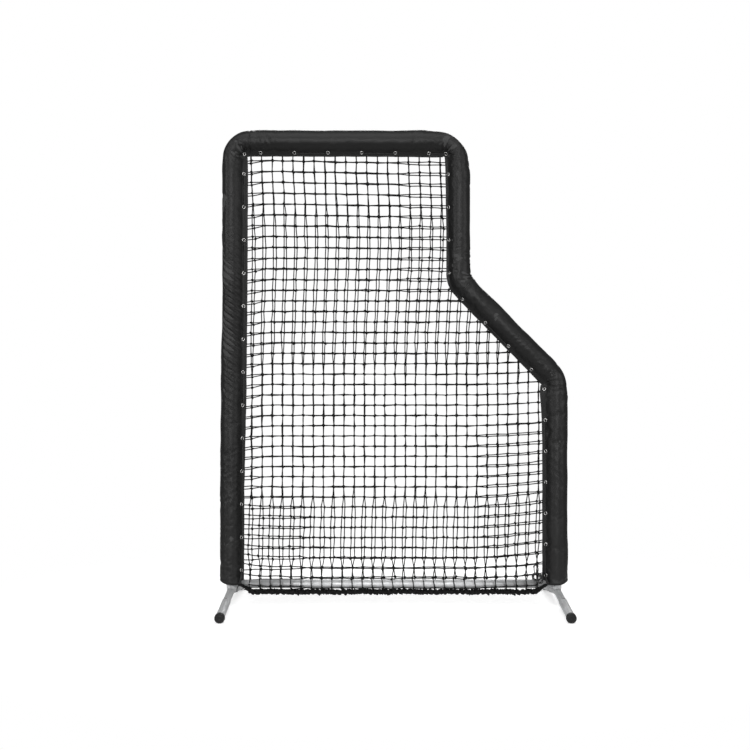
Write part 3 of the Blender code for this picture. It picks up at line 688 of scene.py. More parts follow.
def slack(name, points):
    """How far each point of a cover's coarse grid moves as the cloth settles."""
    rows, columns = points.shape[:2]
    cover = placed(f"{name}_cloth", loft(f"{name}_cloth", points, close_columns=False))
    laced = cover.vertex_groups.new(name="laced")
    index = np.arange(rows * columns).reshape(rows, columns)
    held = np.concatenate([index[:, :3].ravel(), index[:, -3:].ravel(), index[0], index[-1]])
    laced.add(sorted(set(held.tolist())), 1.0, "REPLACE")
    cloth = cover.modifiers.new("cloth", "CLOTH")
    for label, value in CLOTH.items():
        setattr(cloth.settings, label, value)
    cloth.settings.vertex_group_mass = laced.name
    cloth.settings.effector_weights.gravity = 0
    cloth.collision_settings.use_collision = False
    for frame_number in range(1, SIM_FRAMES + 1):
        bpy.context.scene.frame_set(frame_number)
    moved = np.zeros(rows * columns * 3, np.float32)
    cover.evaluated_get(bpy.context.evaluated_depsgraph_get()).data.vertices.foreach_get("co", moved)
    moved = moved.reshape(points.shape) - points
    bpy.context.scene.frame_set(1)
    bpy.data.objects.remove(cover)
    size = np.linalg.norm(moved, axis=-1, keepdims=True)
    print(name, "slack", round(float(size.max()) * 1000, 1), "mm at most before the cap")
    return moved * np.minimum(1, MOST_SLACK / np.maximum(size, 1e-9))


def doubled(values, axis):
    """Values on every second grid line, filled in between on a smooth curve."""
    values = np.moveaxis(values, axis, 0)
    padded = np.concatenate([values[:1], values, values[-1:]])
    filled = np.empty((2 * len(values) - 1, *values.shape[1:]))
    filled[::2] = values
    filled[1::2] = (9 * (values[1:] + values[:-1]) - padded[:-3] - padded[3:]) / 16
    return np.moveaxis(filled, 0, axis)


# %% [markdown]
# ## The covers
#
# Rings of points follow the line every five millimetres, with one cell centred on each eyelet.
# Pushing the points round that cell outwards and leaving its face out gives a clean hole in each
# flap, which the eyelet's ring then covers. Solidify turns the sheet into vinyl with a thickness.

# %% Covers
RING_STEP = 0.005
HOLE_RADIUS, HOLE_REACH = 0.0058, 0.010
VINYL_THICKNESS, RIM_ANGLE = 0.0012, math.radians(50)
REAR_CELL, FRONT_CELL = EDGE_CELLS, EDGE_CELLS + SKIN_CELLS + 1
HEMMED = (0.0, STRETCHES["left"][1], STRETCHES["top"][0], LINE_LENGTH)
STEP_RISE, STEP_REACH = 0.013, 0.05  # the outer lower corners are turned up


def ring_places(start, end, eyelets):
    """Places along the line, and the index of each eyelet's cell. Their number is odd."""
    edges = [start, *(spot + side * EYELET_CELL / 2 for spot in eyelets for side in (-1, 1)), end]
    spans = list(zip(edges[::2], edges[1::2]))
    counts = [max(1, round((high - low) / RING_STEP)) for low, high in spans]
    counts[0] += (sum(counts) + len(eyelets)) % 2
    places = np.concatenate([np.linspace(*span, count + 1) for span, count in zip(spans, counts)])
    return places, (np.cumsum([count + 1 for count in counts])[:-1] - 1).tolist()


def opened(run, across, eyelets):
    """The grid with its points pushed away from the middle of each eyelet hole."""
    for spot in eyelets:
        for centre in (EYELET_ACROSS, GIRTH - EYELET_ACROSS):
            along, up = run - spot, across - centre
            away = np.maximum(np.hypot(along, up), 1e-6)
            pushed = HOLE_RADIUS + (HOLE_REACH - HOLE_RADIUS) * away / HOLE_REACH
            scale = np.where(away < HOLE_REACH, pushed / away, 1)
            run, across = spot + along * scale, centre + up * scale
    return run, across


def stepped(name, run, outer, right_outer):
    """The left and right pads' lower ends turned up on their outer side."""
    if name == "left":
        return run + STEP_RISE * (1 - smooth(run / STEP_REACH)) * outer
    if name == "right":
        return run - STEP_RISE * (1 - smooth((LINE_LENGTH - run) / STEP_REACH)) * right_outer
    return run


def outward_normals(points, run):
    normal = np.cross(np.gradient(points, axis=0), np.gradient(points, axis=1))
    normal /= np.maximum(np.linalg.norm(normal, axis=-1, keepdims=True), 1e-12)
    return normal * np.sign((normal * (points - lay(run, 0.0, 0.0))).sum(-1).mean())


def make_cover(name):
    """A cover's mesh, its grid, and the centre and facing of each hole in its two flaps."""
    start, end = STRETCHES[name]
    places, cells = ring_places(start, end, EYELET_RUNS[name])
    run, across = np.meshgrid(places, ACROSS, indexing="ij")
    smooth_skin = skin(run, across)
    normal = outward_normals(smooth_skin, run)
    moved = doubled(doubled(slack(name, smooth_skin[::2, ::2]), 0), 1)
    hems = [end for end in (start, end) if end in HEMMED]
    height = fold_height(run, across) + pucker_height(run, across) + hem_height(run, hems)
    run, across = opened(run, across, EYELET_RUNS[name])
    outer = smooth(1.15 - np.abs(across / GIRTH - 0.5) * 3)
    run = stepped(name, np.clip(run, start, end), outer, outer**3)
    points = skin(run, across) + normal * height[..., None] + moved
    cells_out = {(row, column) for row in cells for column in (REAR_CELL, FRONT_CELL)}
    flat = np.stack([run, across], -1)
    mesh = loft(f"{name}_vinyl", points, close_columns=False, missing=cells_out, uv=flat)
    holes = []
    for row in cells:
        pair = {}
        for flap, column, facing in (("rear", REAR_CELL, 1), ("front", FRONT_CELL, -1)):
            a, b, c, d = points[row : row + 2, column : column + 2].reshape(4, 3)
            turned = Vector(np.cross(d - a, c - b)).normalized()
            pair[flap] = (Vector((a + b + c + d) / 4), turned * math.copysign(1, turned.y * facing))
        holes.append(pair)
    return mesh, points, holes


HOLES, SKINS = {}, {}
for name in PADS:
    mesh, SKINS[name], HOLES[name] = make_cover(name)
    sheet = placed(mesh.name, mesh)
    wall = sheet.modifiers.new("wall", "SOLIDIFY")
    wall.thickness, wall.offset, wall.use_even_offset = VINYL_THICKNESS, -1, False
    mesh = settled(sheet)
    mesh.set_sharp_from_angle(angle=RIM_ANGLE)  # keeps the rim from shading the cloth beside it
    cover = show(f"{name}_pad_cover", mesh, VINYL, "frame", [f"{name}_cover"])
    print(cover.name, len(mesh.polygons), "faces,", len(HOLES[name]), "holes a flap")

# %% [markdown]
# ## Foam
#
# A split sleeve of foam runs inside each cover. It is a loft too: an outer ring and the bore in
# one section, with the slit on the net's side. It is sunk and cut as the cover over it is.

# %% Foam sleeves
FOAM_RADIUS, FOAM_STEP, FOAM_SIDES, SLIT = 0.0458, 0.02, 40, math.radians(7)


def make_foam(name):
    start, end = STRETCHES[name]
    count = round((end - start) / FOAM_STEP)
    run = np.linspace(start + SEAM_GAP / 2, end - SEAM_GAP / 2, count)[:, None]
    turn = np.linspace(SLIT, 2 * math.pi - SLIT, FOAM_SIDES)
    turn = np.concatenate([turn, turn[::-1]])
    radii = np.repeat([FOAM_RADIUS, TUBE_RADIUS + SEAM_GAP], FOAM_SIDES)
    inward, forward = radii * np.cos(turn), radii * np.sin(turn)
    outer = smooth(1.2 - np.abs(np.arctan2(forward, -inward)) / 1.5)[None, :]
    run = stepped(name, run, outer, outer)
    points = lay(run, shaped(run, inward[None, :]), forward[None, :])
    ends = [[row * len(inward) + k for k in range(len(inward))] for row in (0, count - 1)]
    mesh = loft(f"{name}_sleeve", points, caps=ends)
    piece = show(f"{name}_foam_sleeve", cleaned(mesh), FOAM, "frame", [f"{name}_foam"])
    return len(mesh.polygons)


print("foam faces", sum(make_foam(name) for name in PADS))

# %% [markdown]
# ## Two geometry trees for everything small
#
# Nearly all the small work on this screen is a strand that follows a line, or a copy of one shape
# at many places. So there are two trees. The first turns edges into round strands, with a knot
# wherever a point asks for one. The second puts a unit shape on points and turns it to face the
# way each point says.

# %% Building a geometry tree


class Recipe(Graph):
    """A geometry tree with named inputs, which ends in Realize Instances and Set Material."""

    def __init__(self, name, **inputs):
        super().__init__(bpy.data.node_groups.new(name, "GeometryNodeTree"))
        for label, kind in {"Geometry": "Geometry", "Material": "Material", **inputs}.items():
            self.tree.interface.new_socket(label, in_out="INPUT", socket_type=f"NodeSocket{kind}")
        self.tree.interface.new_socket("Geometry", in_out="OUTPUT", socket_type="NodeSocketGeometry")
        self.source = self.tree.nodes.new("NodeGroupInput")

    def given(self, label):
        return Value(self, self.source, label)

    def kept(self, label, kind="FLOAT"):
        """An attribute that the source mesh carries."""
        return self.add("GeometryNodeInputNamedAttribute", {"data_type": kind}, {"Name": label})

    def store(self, geometry, label, value, kind="FLOAT"):
        sockets = {"Geometry": geometry, "Name": label, "Value": value}
        return self.add("GeometryNodeStoreNamedAttribute", {"data_type": kind, "domain": "POINT"}, sockets)

    def scatter(self, low, high):
        """A seeded random vector for each point."""
        sockets = {0: low, 1: high, "Seed": self.given("Seed")}
        return self.add("FunctionNodeRandomValue", {"data_type": "FLOAT_VECTOR"}, sockets)

    def close(self, geometry):
        whole = self.add("GeometryNodeRealizeInstances", {}, {"Geometry": geometry})
        sockets = {"Geometry": whole, "Material": self.given("Material")}
        painted = self.add("GeometryNodeSetMaterial", {}, sockets)
        self.give(self.tree.nodes.new("NodeGroupOutput").inputs["Geometry"], painted)
        return self.tree


def grown(name, source, tree, material, **sizes):
    """The plain mesh that a tree makes of a source mesh."""
    holder = placed(name, source)
    modifier = holder.modifiers.new(tree.name, "NODES")
    modifier.node_group = tree
    sizes["Material"] = material
    for item in tree.interface.items_tree:
        if item.in_out == "INPUT" and item.name in sizes:
            modifier[item.identifier] = sizes[item.name]
    return settled(holder)


# %% [markdown]
# ### Strands and knots
#
# A strand starts as loose edges. Each of their points carries its own radius, girth, and the size
# of the knot on it. The tree sweeps a circle along the lines and puts a lump on each knot, tilted
# and stretched by a seeded draw, which is lighter than modelling a thousand real knots.

# %% Strands and knots
KNOT_LEAST, KNOT_MOST = (0.95, 0.75, 1.15), (1.2, 1.0, 1.45)


def strand_tree():
    tree = Recipe("strands_and_knots", Sides="Int", Seed="Int")
    curve = tree.add("GeometryNodeMeshToCurve", {}, {"Mesh": tree.given("Geometry")})
    curve = tree.store(curve, "run", tree.add("GeometryNodeSplineParameter", output="Length"))
    circle = {"Resolution": tree.given("Sides"), "Radius": 1.0}
    ring = tree.add("GeometryNodeCurvePrimitiveCircle", {}, circle)
    ring = tree.store(ring, "ring", tree.add("GeometryNodeInputPosition"), "FLOAT_VECTOR")
    sweep = {"Curve": curve, "Profile Curve": ring, "Scale": tree.kept("girth"), "Fill Caps": True}
    strands = tree.add("GeometryNodeCurveToMesh", {}, sweep)
    lump = tree.add("GeometryNodeMeshUVSphere", {}, {"Segments": 7, "Rings": 5, "Radius": 1.0})
    tilt, shape = tree.scatter((-3.1, -3.1, -3.1), (3.1, 3.1, 3.1)), tree.scatter(KNOT_LEAST, KNOT_MOST)
    size = tree.kept("knot")
    scaled = tree.add("ShaderNodeVectorMath", {"operation": "SCALE"}, {0: shape, "Scale": size})
    spots = {"Points": tree.given("Geometry"), "Selection": tree.maths("GREATER_THAN", size, 0.0)}
    spots.update({"Instance": lump, "Rotation": tilt, "Scale": scaled})
    knots = tree.add("GeometryNodeInstanceOnPoints", {}, spots)
    both = tree.add("GeometryNodeJoinGeometry", {}, {"Geometry": knots})
    tree.give(both.node.inputs["Geometry"], strands)
    return tree.close(tree.add("GeometryNodeSetShadeSmooth", {}, {"Geometry": both}))


STRANDS = strand_tree()


def line_mesh(name, lines, girths, knots=None):
    """A mesh of loose edges: each line is a row of points, with a radius and a knot size for each."""
    points = [tuple(point) for line in lines for point in line]
    starts = np.cumsum([0] + [len(line) for line in lines]).tolist()
    edges = [(k, k + 1) for low, high in zip(starts, starts[1:]) for k in range(low, high - 1)]
    mesh = bpy.data.meshes.new(name)
    mesh.from_pydata(points, edges, [])
    for label, values in (("girth", girths), ("knot", knots)):
        flat = [0.0] * len(points) if values is None else [v for value in values for v in value]
        mesh.attributes.new(label, "FLOAT", "POINT").data.foreach_set("value", flat)
    return mesh


# %% [markdown]
# ### Copies on points
#
# Eyelets, stitches and screws are one shape many times over. Each point carries a facing, and the
# copy on it turns its Z axis that way.

# %% Copies on points


def copy_tree():
    tree = Recipe("copies_on_points", Unit="Object")
    unit = tree.add("GeometryNodeObjectInfo", {}, {"Object": tree.given("Unit")}, "Geometry")
    facing = tree.kept("facing", "FLOAT_VECTOR")
    facing = tree.add("FunctionNodeAlignRotationToVector", {"axis": "Z"}, {"Vector": facing})
    spots = {"Points": tree.given("Geometry"), "Instance": unit, "Rotation": facing}
    return tree.close(tree.add("GeometryNodeInstanceOnPoints", {}, spots))


COPIES = copy_tree()


def copied(name, unit_mesh, places, material):
    """One mesh of copies of a unit shape, at (point, facing) pairs. The unit's axis is Z."""
    spots = bpy.data.meshes.new(name)
    spots.from_pydata([tuple(point) for point, _ in places], [], [])
    facing = spots.attributes.new("facing", "FLOAT_VECTOR", "POINT")
    facing.data.foreach_set("vector", [value for _, way in places for value in way])
    unit = placed(f"{name}_unit", unit_mesh)
    mesh = grown(name, spots, COPIES, material, Unit=unit)
    bpy.data.objects.remove(unit)
    return mesh


# %% [markdown]
# ## Turned shapes and eyelets
#
# Eyelets, caps, stitches and screw heads are turned about an axis: a loft of circles from a profile
# of (radius, height) points, where a row of zero radius is a pole that is merged. Seventy-two
# zinc-plated eyelets line the flaps. The unit is a rolled ring with a barrel through the hole. It is
# copied to the middle of each hole that the covers left, and faces the way the flap does.

# %% Turned shapes and eyelets
EYELET_BORE, EYELET_RIM, EYELET_HEIGHT = 0.0046, 0.0086, 0.0014
BARREL_DEPTH, BARREL_WALL, RIM_FOOT = 0.0030, 0.0005, 0.0002


def turned(name, profile, sides, ripple=None):
    """A closed turned mesh about Z. ripple(row, turn) may add to the radius."""
    turn = np.linspace(0, 2 * math.pi, sides, endpoint=False)
    rings = []
    for row, (radius, height) in enumerate(profile):
        radii = radius + (ripple(row, turn) if ripple else 0 * turn)
        rings.append(np.stack([radii * np.cos(turn), radii * np.sin(turn), np.full(sides, height)], -1))
    return cleaned(loft(name, np.array(rings)), seam=1e-5)


def eyelet_unit():
    middle_radius, half = (EYELET_BORE + EYELET_RIM) / 2, (EYELET_RIM - EYELET_BORE) / 2
    roll = np.linspace(0, math.pi, 7)
    dome = [(middle_radius + half * math.cos(a), EYELET_HEIGHT * math.sin(a)) for a in roll]
    barrel = [(EYELET_BORE, -BARREL_DEPTH), (EYELET_BORE + BARREL_WALL, -BARREL_DEPTH)]
    barrel += [(EYELET_BORE + BARREL_WALL, -RIM_FOOT), (EYELET_RIM, -RIM_FOOT)]
    return turned("eyelet_unit", dome + barrel + dome[:1], 22)


holes = [hole for name in PADS for pair in HOLES[name] for hole in pair.values()]
eyelet_places = [(point + facing * 0.0001, facing) for point, facing in holes]
eyelets = copied("flap_eyelets", eyelet_unit(), eyelet_places, ZINC)
show("flap_eyelets", eyelets, ZINC, "frame")
print("eyelets", len(eyelets.polygons), "faces")

# %% [markdown]
# ## Stitches
#
# Each flap's edge is turned in and sewn, and so are the hems at the ends of the covers. A stitch
# is a short fat dash of thread that dips at both ends. The dashes are copied along lines read off
# the finished cover, a little over its surface.

# %% Stitches
STITCH_PITCH, STITCH_LENGTH, THREAD_RADIUS, THREAD_LIFT = 0.0052, 0.0019, 0.00042, 0.0002
STITCH_PROFILE = ((0, 1), (0.8, 0.7), (1, 0), (0.8, -0.7), (0, -1))  # shares of radius and length
READ_HALF = 1e-3  # a line's direction is read over this far on each side


def resampled(points, pitch):
    """(point, way) pairs evenly along a row of points."""
    run = arc_lengths(points)
    spots = np.arange(pitch / 2, run[-1], pitch)

    def read(shift):
        return np.stack([np.interp(spots + shift, run, points[:, k]) for k in range(3)], -1)

    low, high = read(-READ_HALF), read(READ_HALF)
    return [(Vector((a + b) / 2), Vector(b - a).normalized()) for a, b in zip(low, high)]


def stitch_lines(name):
    grid = SKINS[name]
    for edge, inner, facing in ((0, 1, 1), (-1, -2, -1)):
        yield grid[:, edge] * 0.55 + grid[:, inner] * 0.45 + (0, facing * THREAD_LIFT, 0)
    for row in [row for end, row in zip(STRETCHES[name], (2, len(grid) - 3)) if end in HEMMED]:
        away = grid[row] - grid[row].mean(axis=0)
        yield grid[row] + away / np.linalg.norm(away, axis=1, keepdims=True) * THREAD_LIFT


dash = [(wide * THREAD_RADIUS, long * STITCH_LENGTH) for wide, long in STITCH_PROFILE]
unit = turned("stitch_unit", dash, 6)
sewn = [place for name in PADS for line in stitch_lines(name) for place in resampled(line, STITCH_PITCH)]
stitches = copied("cover_stitches", unit, sewn, THREAD)
show("cover_stitches", stitches, THREAD, "frame")
print(len(sewn), "stitches,", len(stitches.polygons), "faces")

# %% [markdown]
# ## Laces
#
# One black cord closes each cover in running stitch: it lies on the front flap between two
# eyelets, goes down through the next one and lies on the rear flap. Its line is laid out from
# the holes' middles, softened, and given its thickness by the strand tree.

# %% Laces
LACE_RADIUS, LACE_END = 0.00175, 0.012
HOLE_SINK, HOLE_SIDE, HOLE_AWAY = 0.0006, 0.0022, 0.0062  # where a lace meets a hole's rim
LACE_LIFT, LACE_ARCH = 0.0004, 0.002  # clear of the flap, and higher still near the holes


def softened(points, times=2):
    """Chaikin's corner cutting, which keeps both ends."""
    points = np.asarray(points, float)
    for _ in range(times):
        near, far = points[:-1] * 0.75 + points[1:] * 0.25, points[:-1] * 0.25 + points[1:] * 0.75
        points = np.concatenate([points[:1], np.stack([near, far], 1).reshape(-1, 3), points[-1:]])
    return points


def lace_line(holes):
    """The running stitch through one pad's holes."""
    over = EYELET_HEIGHT + LACE_RADIUS
    middles = [(pair["front"][0] + pair["rear"][0]) / 2 for pair in holes]
    ways = [(after - here).normalized() for here, after in zip(middles, middles[1:])]
    ways.append(ways[-1])
    point, facing = holes[0]["front"]
    line = [point - ways[0] * LACE_END + facing * LACE_RADIUS, point - ways[0] * 0.006 + facing * over]
    side, other = "front", "rear"
    for index, (pair, way) in enumerate(zip(holes, ways)):
        arriving = ways[max(0, index - 1)]
        (near, near_facing), (far, far_facing) = pair[side], pair[other]
        if index:
            line.append(near - arriving * HOLE_AWAY + near_facing * over)
        line += [near - arriving * HOLE_SIDE + near_facing * HOLE_SINK, (near + far) / 2]
        line += [far + way * HOLE_SIDE + far_facing * HOLE_SINK, far + way * HOLE_AWAY + far_facing * over]
        side, other = other, side
        if index + 1 < len(holes):
            after, after_facing = holes[index + 1][side]
            for share in (0.2, 0.5, 0.8):
                lift = LACE_RADIUS + LACE_LIFT + LACE_ARCH * (share != 0.5)
                line.append(far.lerp(after, share) + far_facing.lerp(after_facing, share) * lift)
    line.append(line[-1] + ways[-1] * 0.008 - holes[-1][side][1] * 0.001)
    return softened(line)


def show_cord(name, lines, radius, nodes=(), sides=10):
    girths = [np.full(len(line), radius) for line in lines]
    mesh = grown(name, line_mesh(name, lines, girths), STRANDS, BRAID, Sides=sides, Seed=1)
    show(name, mesh, BRAID, "frame", nodes)


for name in PADS:
    line = lace_line(HOLES[name])
    show_cord(f"{name}_lacing", [line], LACE_RADIUS, [f"{name}_lace"])
    print(name, "lace", round(float(arc_lengths(line)[-1]), 3), "m")

# %% [markdown]
# ## The net
#
# The netting is knotted square mesh of about 47 mm in black twine, drawn as thick as the photograph
# shows it. It hangs in two layers, which is why many strands show double. Smooth rules, read off
# the photograph, say where the first column stands at each height, how far apart columns are, how
# far down each row is, and how far the layers have slipped over each other. Crossings come from
# solving a row and a column together.

# %% Rules of the net
TWINE_RADIUS = 0.0026
FIRST_COLUMN, COLUMN_PITCH = -0.6470, 0.0466
TOP_ROW, ROW_PITCH, ROW_SHRINK = 2.0191, 0.049385, 0.0000537
BORDER = 0.0575  # the net's edge cord runs this far inside the line
COLUMNS, ROWS = range(-1, 30), range(-1, 42)


def step(x, low, high):
    return smooth((x - low) / (high - low))


def band(x, low, high, soft):
    return step(x, low, low + soft) * (1 - step(x, high - soft, high))


def column_x(number, z):
    """The first column bows, and leans out at the ends. The others stand a pitch apart."""
    first = FIRST_COLUMN + 0.0095 * bell(z, 1.6, 0.27)
    first = first - 0.008 * (1 - step(z, 0.15, 0.62)) - 0.004 * step(z, 1.8, 2.0)
    return first + number * (COLUMN_PITCH + 0.0012 * step(z, 1.05, 1.9))


def row_level(number):
    return TOP_ROW - ROW_PITCH * number + ROW_SHRINK * number**2


def row_z(number, x):
    """Rows tilt near the top, are drawn up to the right, sag at the left and drop near the rope."""
    z = row_level(number)
    tilt = -0.020 * (x + 0.255) * step(z, 1.3, 2.0)
    rise = (0.0127 + 0.0146 * (1 - step(z, 0.15, 1.0))) * (0.40 + 0.60 * step(z, 0.04, 0.30))
    lift = np.clip((x - 0.30) / 0.355, 0, 1.2) ** 2 * rise
    sag = np.clip((-0.570 - x) / 0.090, 0, 1.3) ** 1.4 * (0.003 - 0.013 * step(z, 0.35, 0.75))
    drop = -0.0038 * (1 - step(z, 0.08, 0.50))
    return z + tilt + lift + sag + drop


def column_slip(level, x):
    """How far the layers' columns stand apart: in the upper part, the lower part and the last row."""
    upper, lower = band(level, 1.05, 1.85, 0.16), step(level, 0.178, 0.216) * (1 - step(level, 0.43, 0.52))
    last = band(level, 0.100, 0.160, 0.020) * step(x, -0.30, 0.05)
    return 0.0012 + 0.0100 * upper + 0.0120 * last + 0.0145 * lower


def row_slip(x, z):
    """How far the layers' rows lie apart: at the upper right, the lower corners and the left edge."""
    upper = 0.0090 * step(x, 0.0, 0.08) * step(z, 1.35, 1.45)
    corner = (0.0190 - 0.0085 * step(z, 0.20, 0.27)) * (1 - step(x, -0.46, -0.36)) * (1 - step(z, 0.42, 0.50))
    right = 0.0085 * step(x, 0.36, 0.44) * (1 - step(z, 0.75, 0.85))
    return 0.0014 + upper + corner + right + 0.0090 * (1 - step(x, -0.63, -0.60))


def room(x, z):
    """How far a point is inside the net's edge."""
    slanted = (UPPER_RIGHT + KINK_HEIGHT) / math.sqrt(2) - BORDER - (x + z) / math.sqrt(2)
    notch = np.maximum(UPPER_RIGHT - BORDER - x, slanted)
    return np.minimum.reduce([x - LEFT - BORDER, RIGHT - BORDER - x, TOP - BORDER - z, notch])


# %% [markdown]
# Near the ground the layers part, pass in front of and behind the bottom rail, and meet again in
# the rope under it. Each layer is one mesh of edges: whole columns and whole rows, cut off at the
# edge cord, with a small seeded unevenness in the crossings.

# %% Net layers
SPREAD_TOP, RAIL_CLEAR = 0.40, TUBE_RADIUS + 0.0030
LAYER_OUT, GATHERED_OUT = 0.0021, 0.010
NET_BOTTOM, LAST_ROW = 0.062, 0.060
KNOT_SIZE = 0.0060
CROSSING_NOISE, COLUMN_BULGE, ROW_BULGE = 0.0011, 0.0006, 0.0005
net_random = np.random.default_rng(23)


def layer_depth(x, z, layer):
    """World Y of a layer. layer is -1 for the front and 1 for the rear."""
    apart = (1 - step(z, 0.13, SPREAD_TOP)) * smooth(np.minimum(x - LEFT - BORDER, RIGHT - BORDER - x) / 0.05)
    gathered = 1 - step(z, 0.068, 0.094)
    wide = RAIL_CLEAR * apart * (1 - gathered) + GATHERED_OUT * gathered
    return layer * (LAYER_OUT + wide)


def crossings(layer):
    """World X and Z of each crossing of one layer, as (columns, rows) arrays."""
    column, row = np.meshgrid(np.array(COLUMNS), np.array(ROWS), indexing="ij")
    x, z = FIRST_COLUMN + column * COLUMN_PITCH, TOP_ROW - row * ROW_PITCH
    for _ in range(5):
        x = column_x(column, z) + layer * column_slip(row_level(row), x) / 2
        z = row_z(row, x) - layer * row_slip(x, z) / 2
    uneven = net_random.normal(0, CROSSING_NOISE, (2, *x.shape))
    return x + uneven[0], z + uneven[1]


def strand(xs, zs, layer, bulge):
    """One strand through its crossings, cut at the net's edge: points, and which are knots."""
    points, knots = [], []
    for k in range(len(xs) - 1):
        bow = net_random.normal(0, bulge)
        wide, tall = xs[k + 1] - xs[k], zs[k + 1] - zs[k]
        length = np.hypot(wide, tall)
        for share in (0.0, 0.34, 0.67):
            across = bow * math.sin(math.pi * share)
            x, z = xs[k] + wide * share, zs[k] + tall * share
            points.append((x + across * tall / length, z - across * wide / length))
            knots.append(share == 0)
    points.append((xs[-1], zs[-1]))
    knots.append(True)
    inside = [float(room(*point)) for point in points]
    kept, is_knot = [], []
    for k, (point, space) in enumerate(zip(points, inside)):
        if k and (space > 0) != (inside[k - 1] > 0):
            share = inside[k - 1] / (inside[k - 1] - space)
            kept.append(tuple(a + (b - a) * share for a, b in zip(points[k - 1], point)))
            is_knot.append(False)
        if space > 0:
            kept.append(point)
            is_knot.append(knots[k])
    line = np.array([(x, layer_depth(x, z, layer), z) for x, z in kept]).reshape(-1, 3)
    return line, np.array(is_knot, float)


def net_layer(name, layer, nodes):
    xs, zs = crossings(layer)
    strands = []
    for x_line, z_line in zip(xs, zs):
        kept = z_line > LAST_ROW
        x_line, z_line = np.append(x_line[kept], x_line[-1]), np.append(z_line[kept], NET_BOTTOM)
        line, is_knot = strand(x_line, z_line, layer, COLUMN_BULGE)
        strands.append((line, is_knot * KNOT_SIZE))
    for x_line, z_line in zip(xs.T, zs.T):
        if z_line.min() >= LAST_ROW:
            line, is_knot = strand(x_line, z_line, layer, ROW_BULGE)
            strands.append((line, is_knot * 0))
    lines, knots = zip(*[pair for pair in strands if len(pair[0]) > 1])
    source = line_mesh(name, lines, [np.full(len(line), TWINE_RADIUS) for line in lines], knots)
    mesh = grown(name, source, STRANDS, TWINE, Sides=6, Seed=3 + layer)
    show(name, mesh, TWINE, "frame", nodes)
    print(name, len(mesh.polygons), "faces,", int(sum((knot > 0).sum() for knot in knots)), "knots")


for end, layer in ENDS:
    net_layer(f"{end}_netting", layer, [f"{end}_net_lower", f"{end}_net_upper"])

# %% [markdown]
# The netting is hung on an edge cord that runs between the flaps, behind the eyelets, where the
# lace goes round it.

# %% Edge cord
EDGE_CORD_RADIUS = 0.0026
cord_runs = np.arange(0.03, LINE_LENGTH - 0.03, 0.006)
cord = lay(cord_runs, BORDER - 0.001, 0.0005 * np.sin(cord_runs * 90))
show_cord("net_edge_cord", [cord], EDGE_CORD_RADIUS, sides=8)
print("edge cord", round(float(cord_runs[-1] - cord_runs[0]), 2), "m")

# %% [markdown]
# ## The bottom rope
#
# Under the rail the two layers are gathered on a thick rope, and a thinner cord is whipped round
# both at every mesh. In the photograph that reads as a row of black lumps. The rope is three
# plies on a helix, the whipping is a tighter helix over them, and each end rises in front of the
# rail to the inner corner of a cover.

# %% Bottom rope
ROPE_TOP = RAIL_HEIGHT - TUBE_RADIUS - SEAM_GAP
ROPE_RADIUS, ROPE_HALF, ROPE_STEP, RISE_START = 0.0142, 0.700, 0.004, 0.632
ROPE_DROP, ROPE_CLIMB = 0.0022, 0.042  # how far it hangs under the rail, and its ends rise
PLY_RADIUS, PLY_REACH, PLY_PITCH = 0.0057, 0.0060, 0.094
WHIP_RADIUS, WHIP_REACH, WHIP_KNOT = 0.0030, 0.0112, 0.0058
rope_x = np.arange(-ROPE_HALF, ROPE_HALF, ROPE_STEP)
rope_rise = step(np.abs(rope_x), RISE_START, ROPE_HALF + 0.014)
rope_full = 1 - 0.55 * rope_rise
rope_z = ROPE_TOP - ROPE_RADIUS - ROPE_DROP + ROPE_CLIMB * rope_rise
rope_middle = np.stack([rope_x, -0.004 - 0.026 * rope_rise, rope_z], axis=-1)
rope_middle[:, 2] += 0.0012 * np.sin(rope_x * 31) + 0.0008 * np.sin(rope_x * 83 + 1)


def around_rope(radius, pitch, phase, uneven=0.0):
    turn = 2 * math.pi * rope_x / pitch + phase + uneven * np.sin(rope_x * 47 + phase)
    radii = radius * rope_full * (1 + 0.12 * np.sin(rope_x * 59 + phase))
    return rope_middle + np.stack([0 * turn, radii * np.cos(turn), radii * np.sin(turn)], -1)


lumps = 1 + 0.24 * np.sin(4 * math.pi * rope_x / COLUMN_PITCH + 0.5 * np.sin(rope_x * 13))
rope_lines = [around_rope(PLY_REACH * lumps, PLY_PITCH, 2 * math.pi * k / 3) for k in range(3)]
rope_lines += [around_rope(WHIP_REACH, COLUMN_PITCH / 2, phase, 0.9) for phase in (0.4, 2.6)]
rope_girths = [PLY_RADIUS * rope_full * lumps] * 3 + [WHIP_RADIUS * (0.6 + 0.4 * rope_full)] * 2
rope_knots = [np.zeros(len(rope_x)) for _ in rope_lines]
for number, offset in ((3, 0), (4, 6)):
    rope_knots[number][offset :: round(COLUMN_PITCH / ROPE_STEP)] = WHIP_KNOT
rope_source = line_mesh("gathering_rope", rope_lines, rope_girths, rope_knots)
rope = grown("gathering_rope", rope_source, STRANDS, TWINE, Sides=8, Seed=9)
show("gathering_rope", rope, TWINE, "frame", ["bottom_rope"])
print("rope", round(2 * ROPE_HALF, 2), "m,", len(rope.polygons), "faces")

# %% [markdown]
# The last turns of each rope end are tied up to the lowest eyelet of the cover. A short tail hangs
# at the left, and at the right a few slack turns of twine are snarled in front of the net.

# %% Rope ends
END_RADIUS, TIE_HEIGHT, TIE_FRONT = 0.0021, 0.112, -0.030
SNARL_FRONT = -0.031
SNARLS = (  # middle, half sizes, turns, start
    (0.641, 0.172, 0.0105, 0.0200, 1.4, 0.4),
    (0.646, 0.136, 0.0180, 0.0150, 3.6, 2.0),
    (0.660, 0.124, 0.0110, 0.0170, 2.6, 4.1),
)


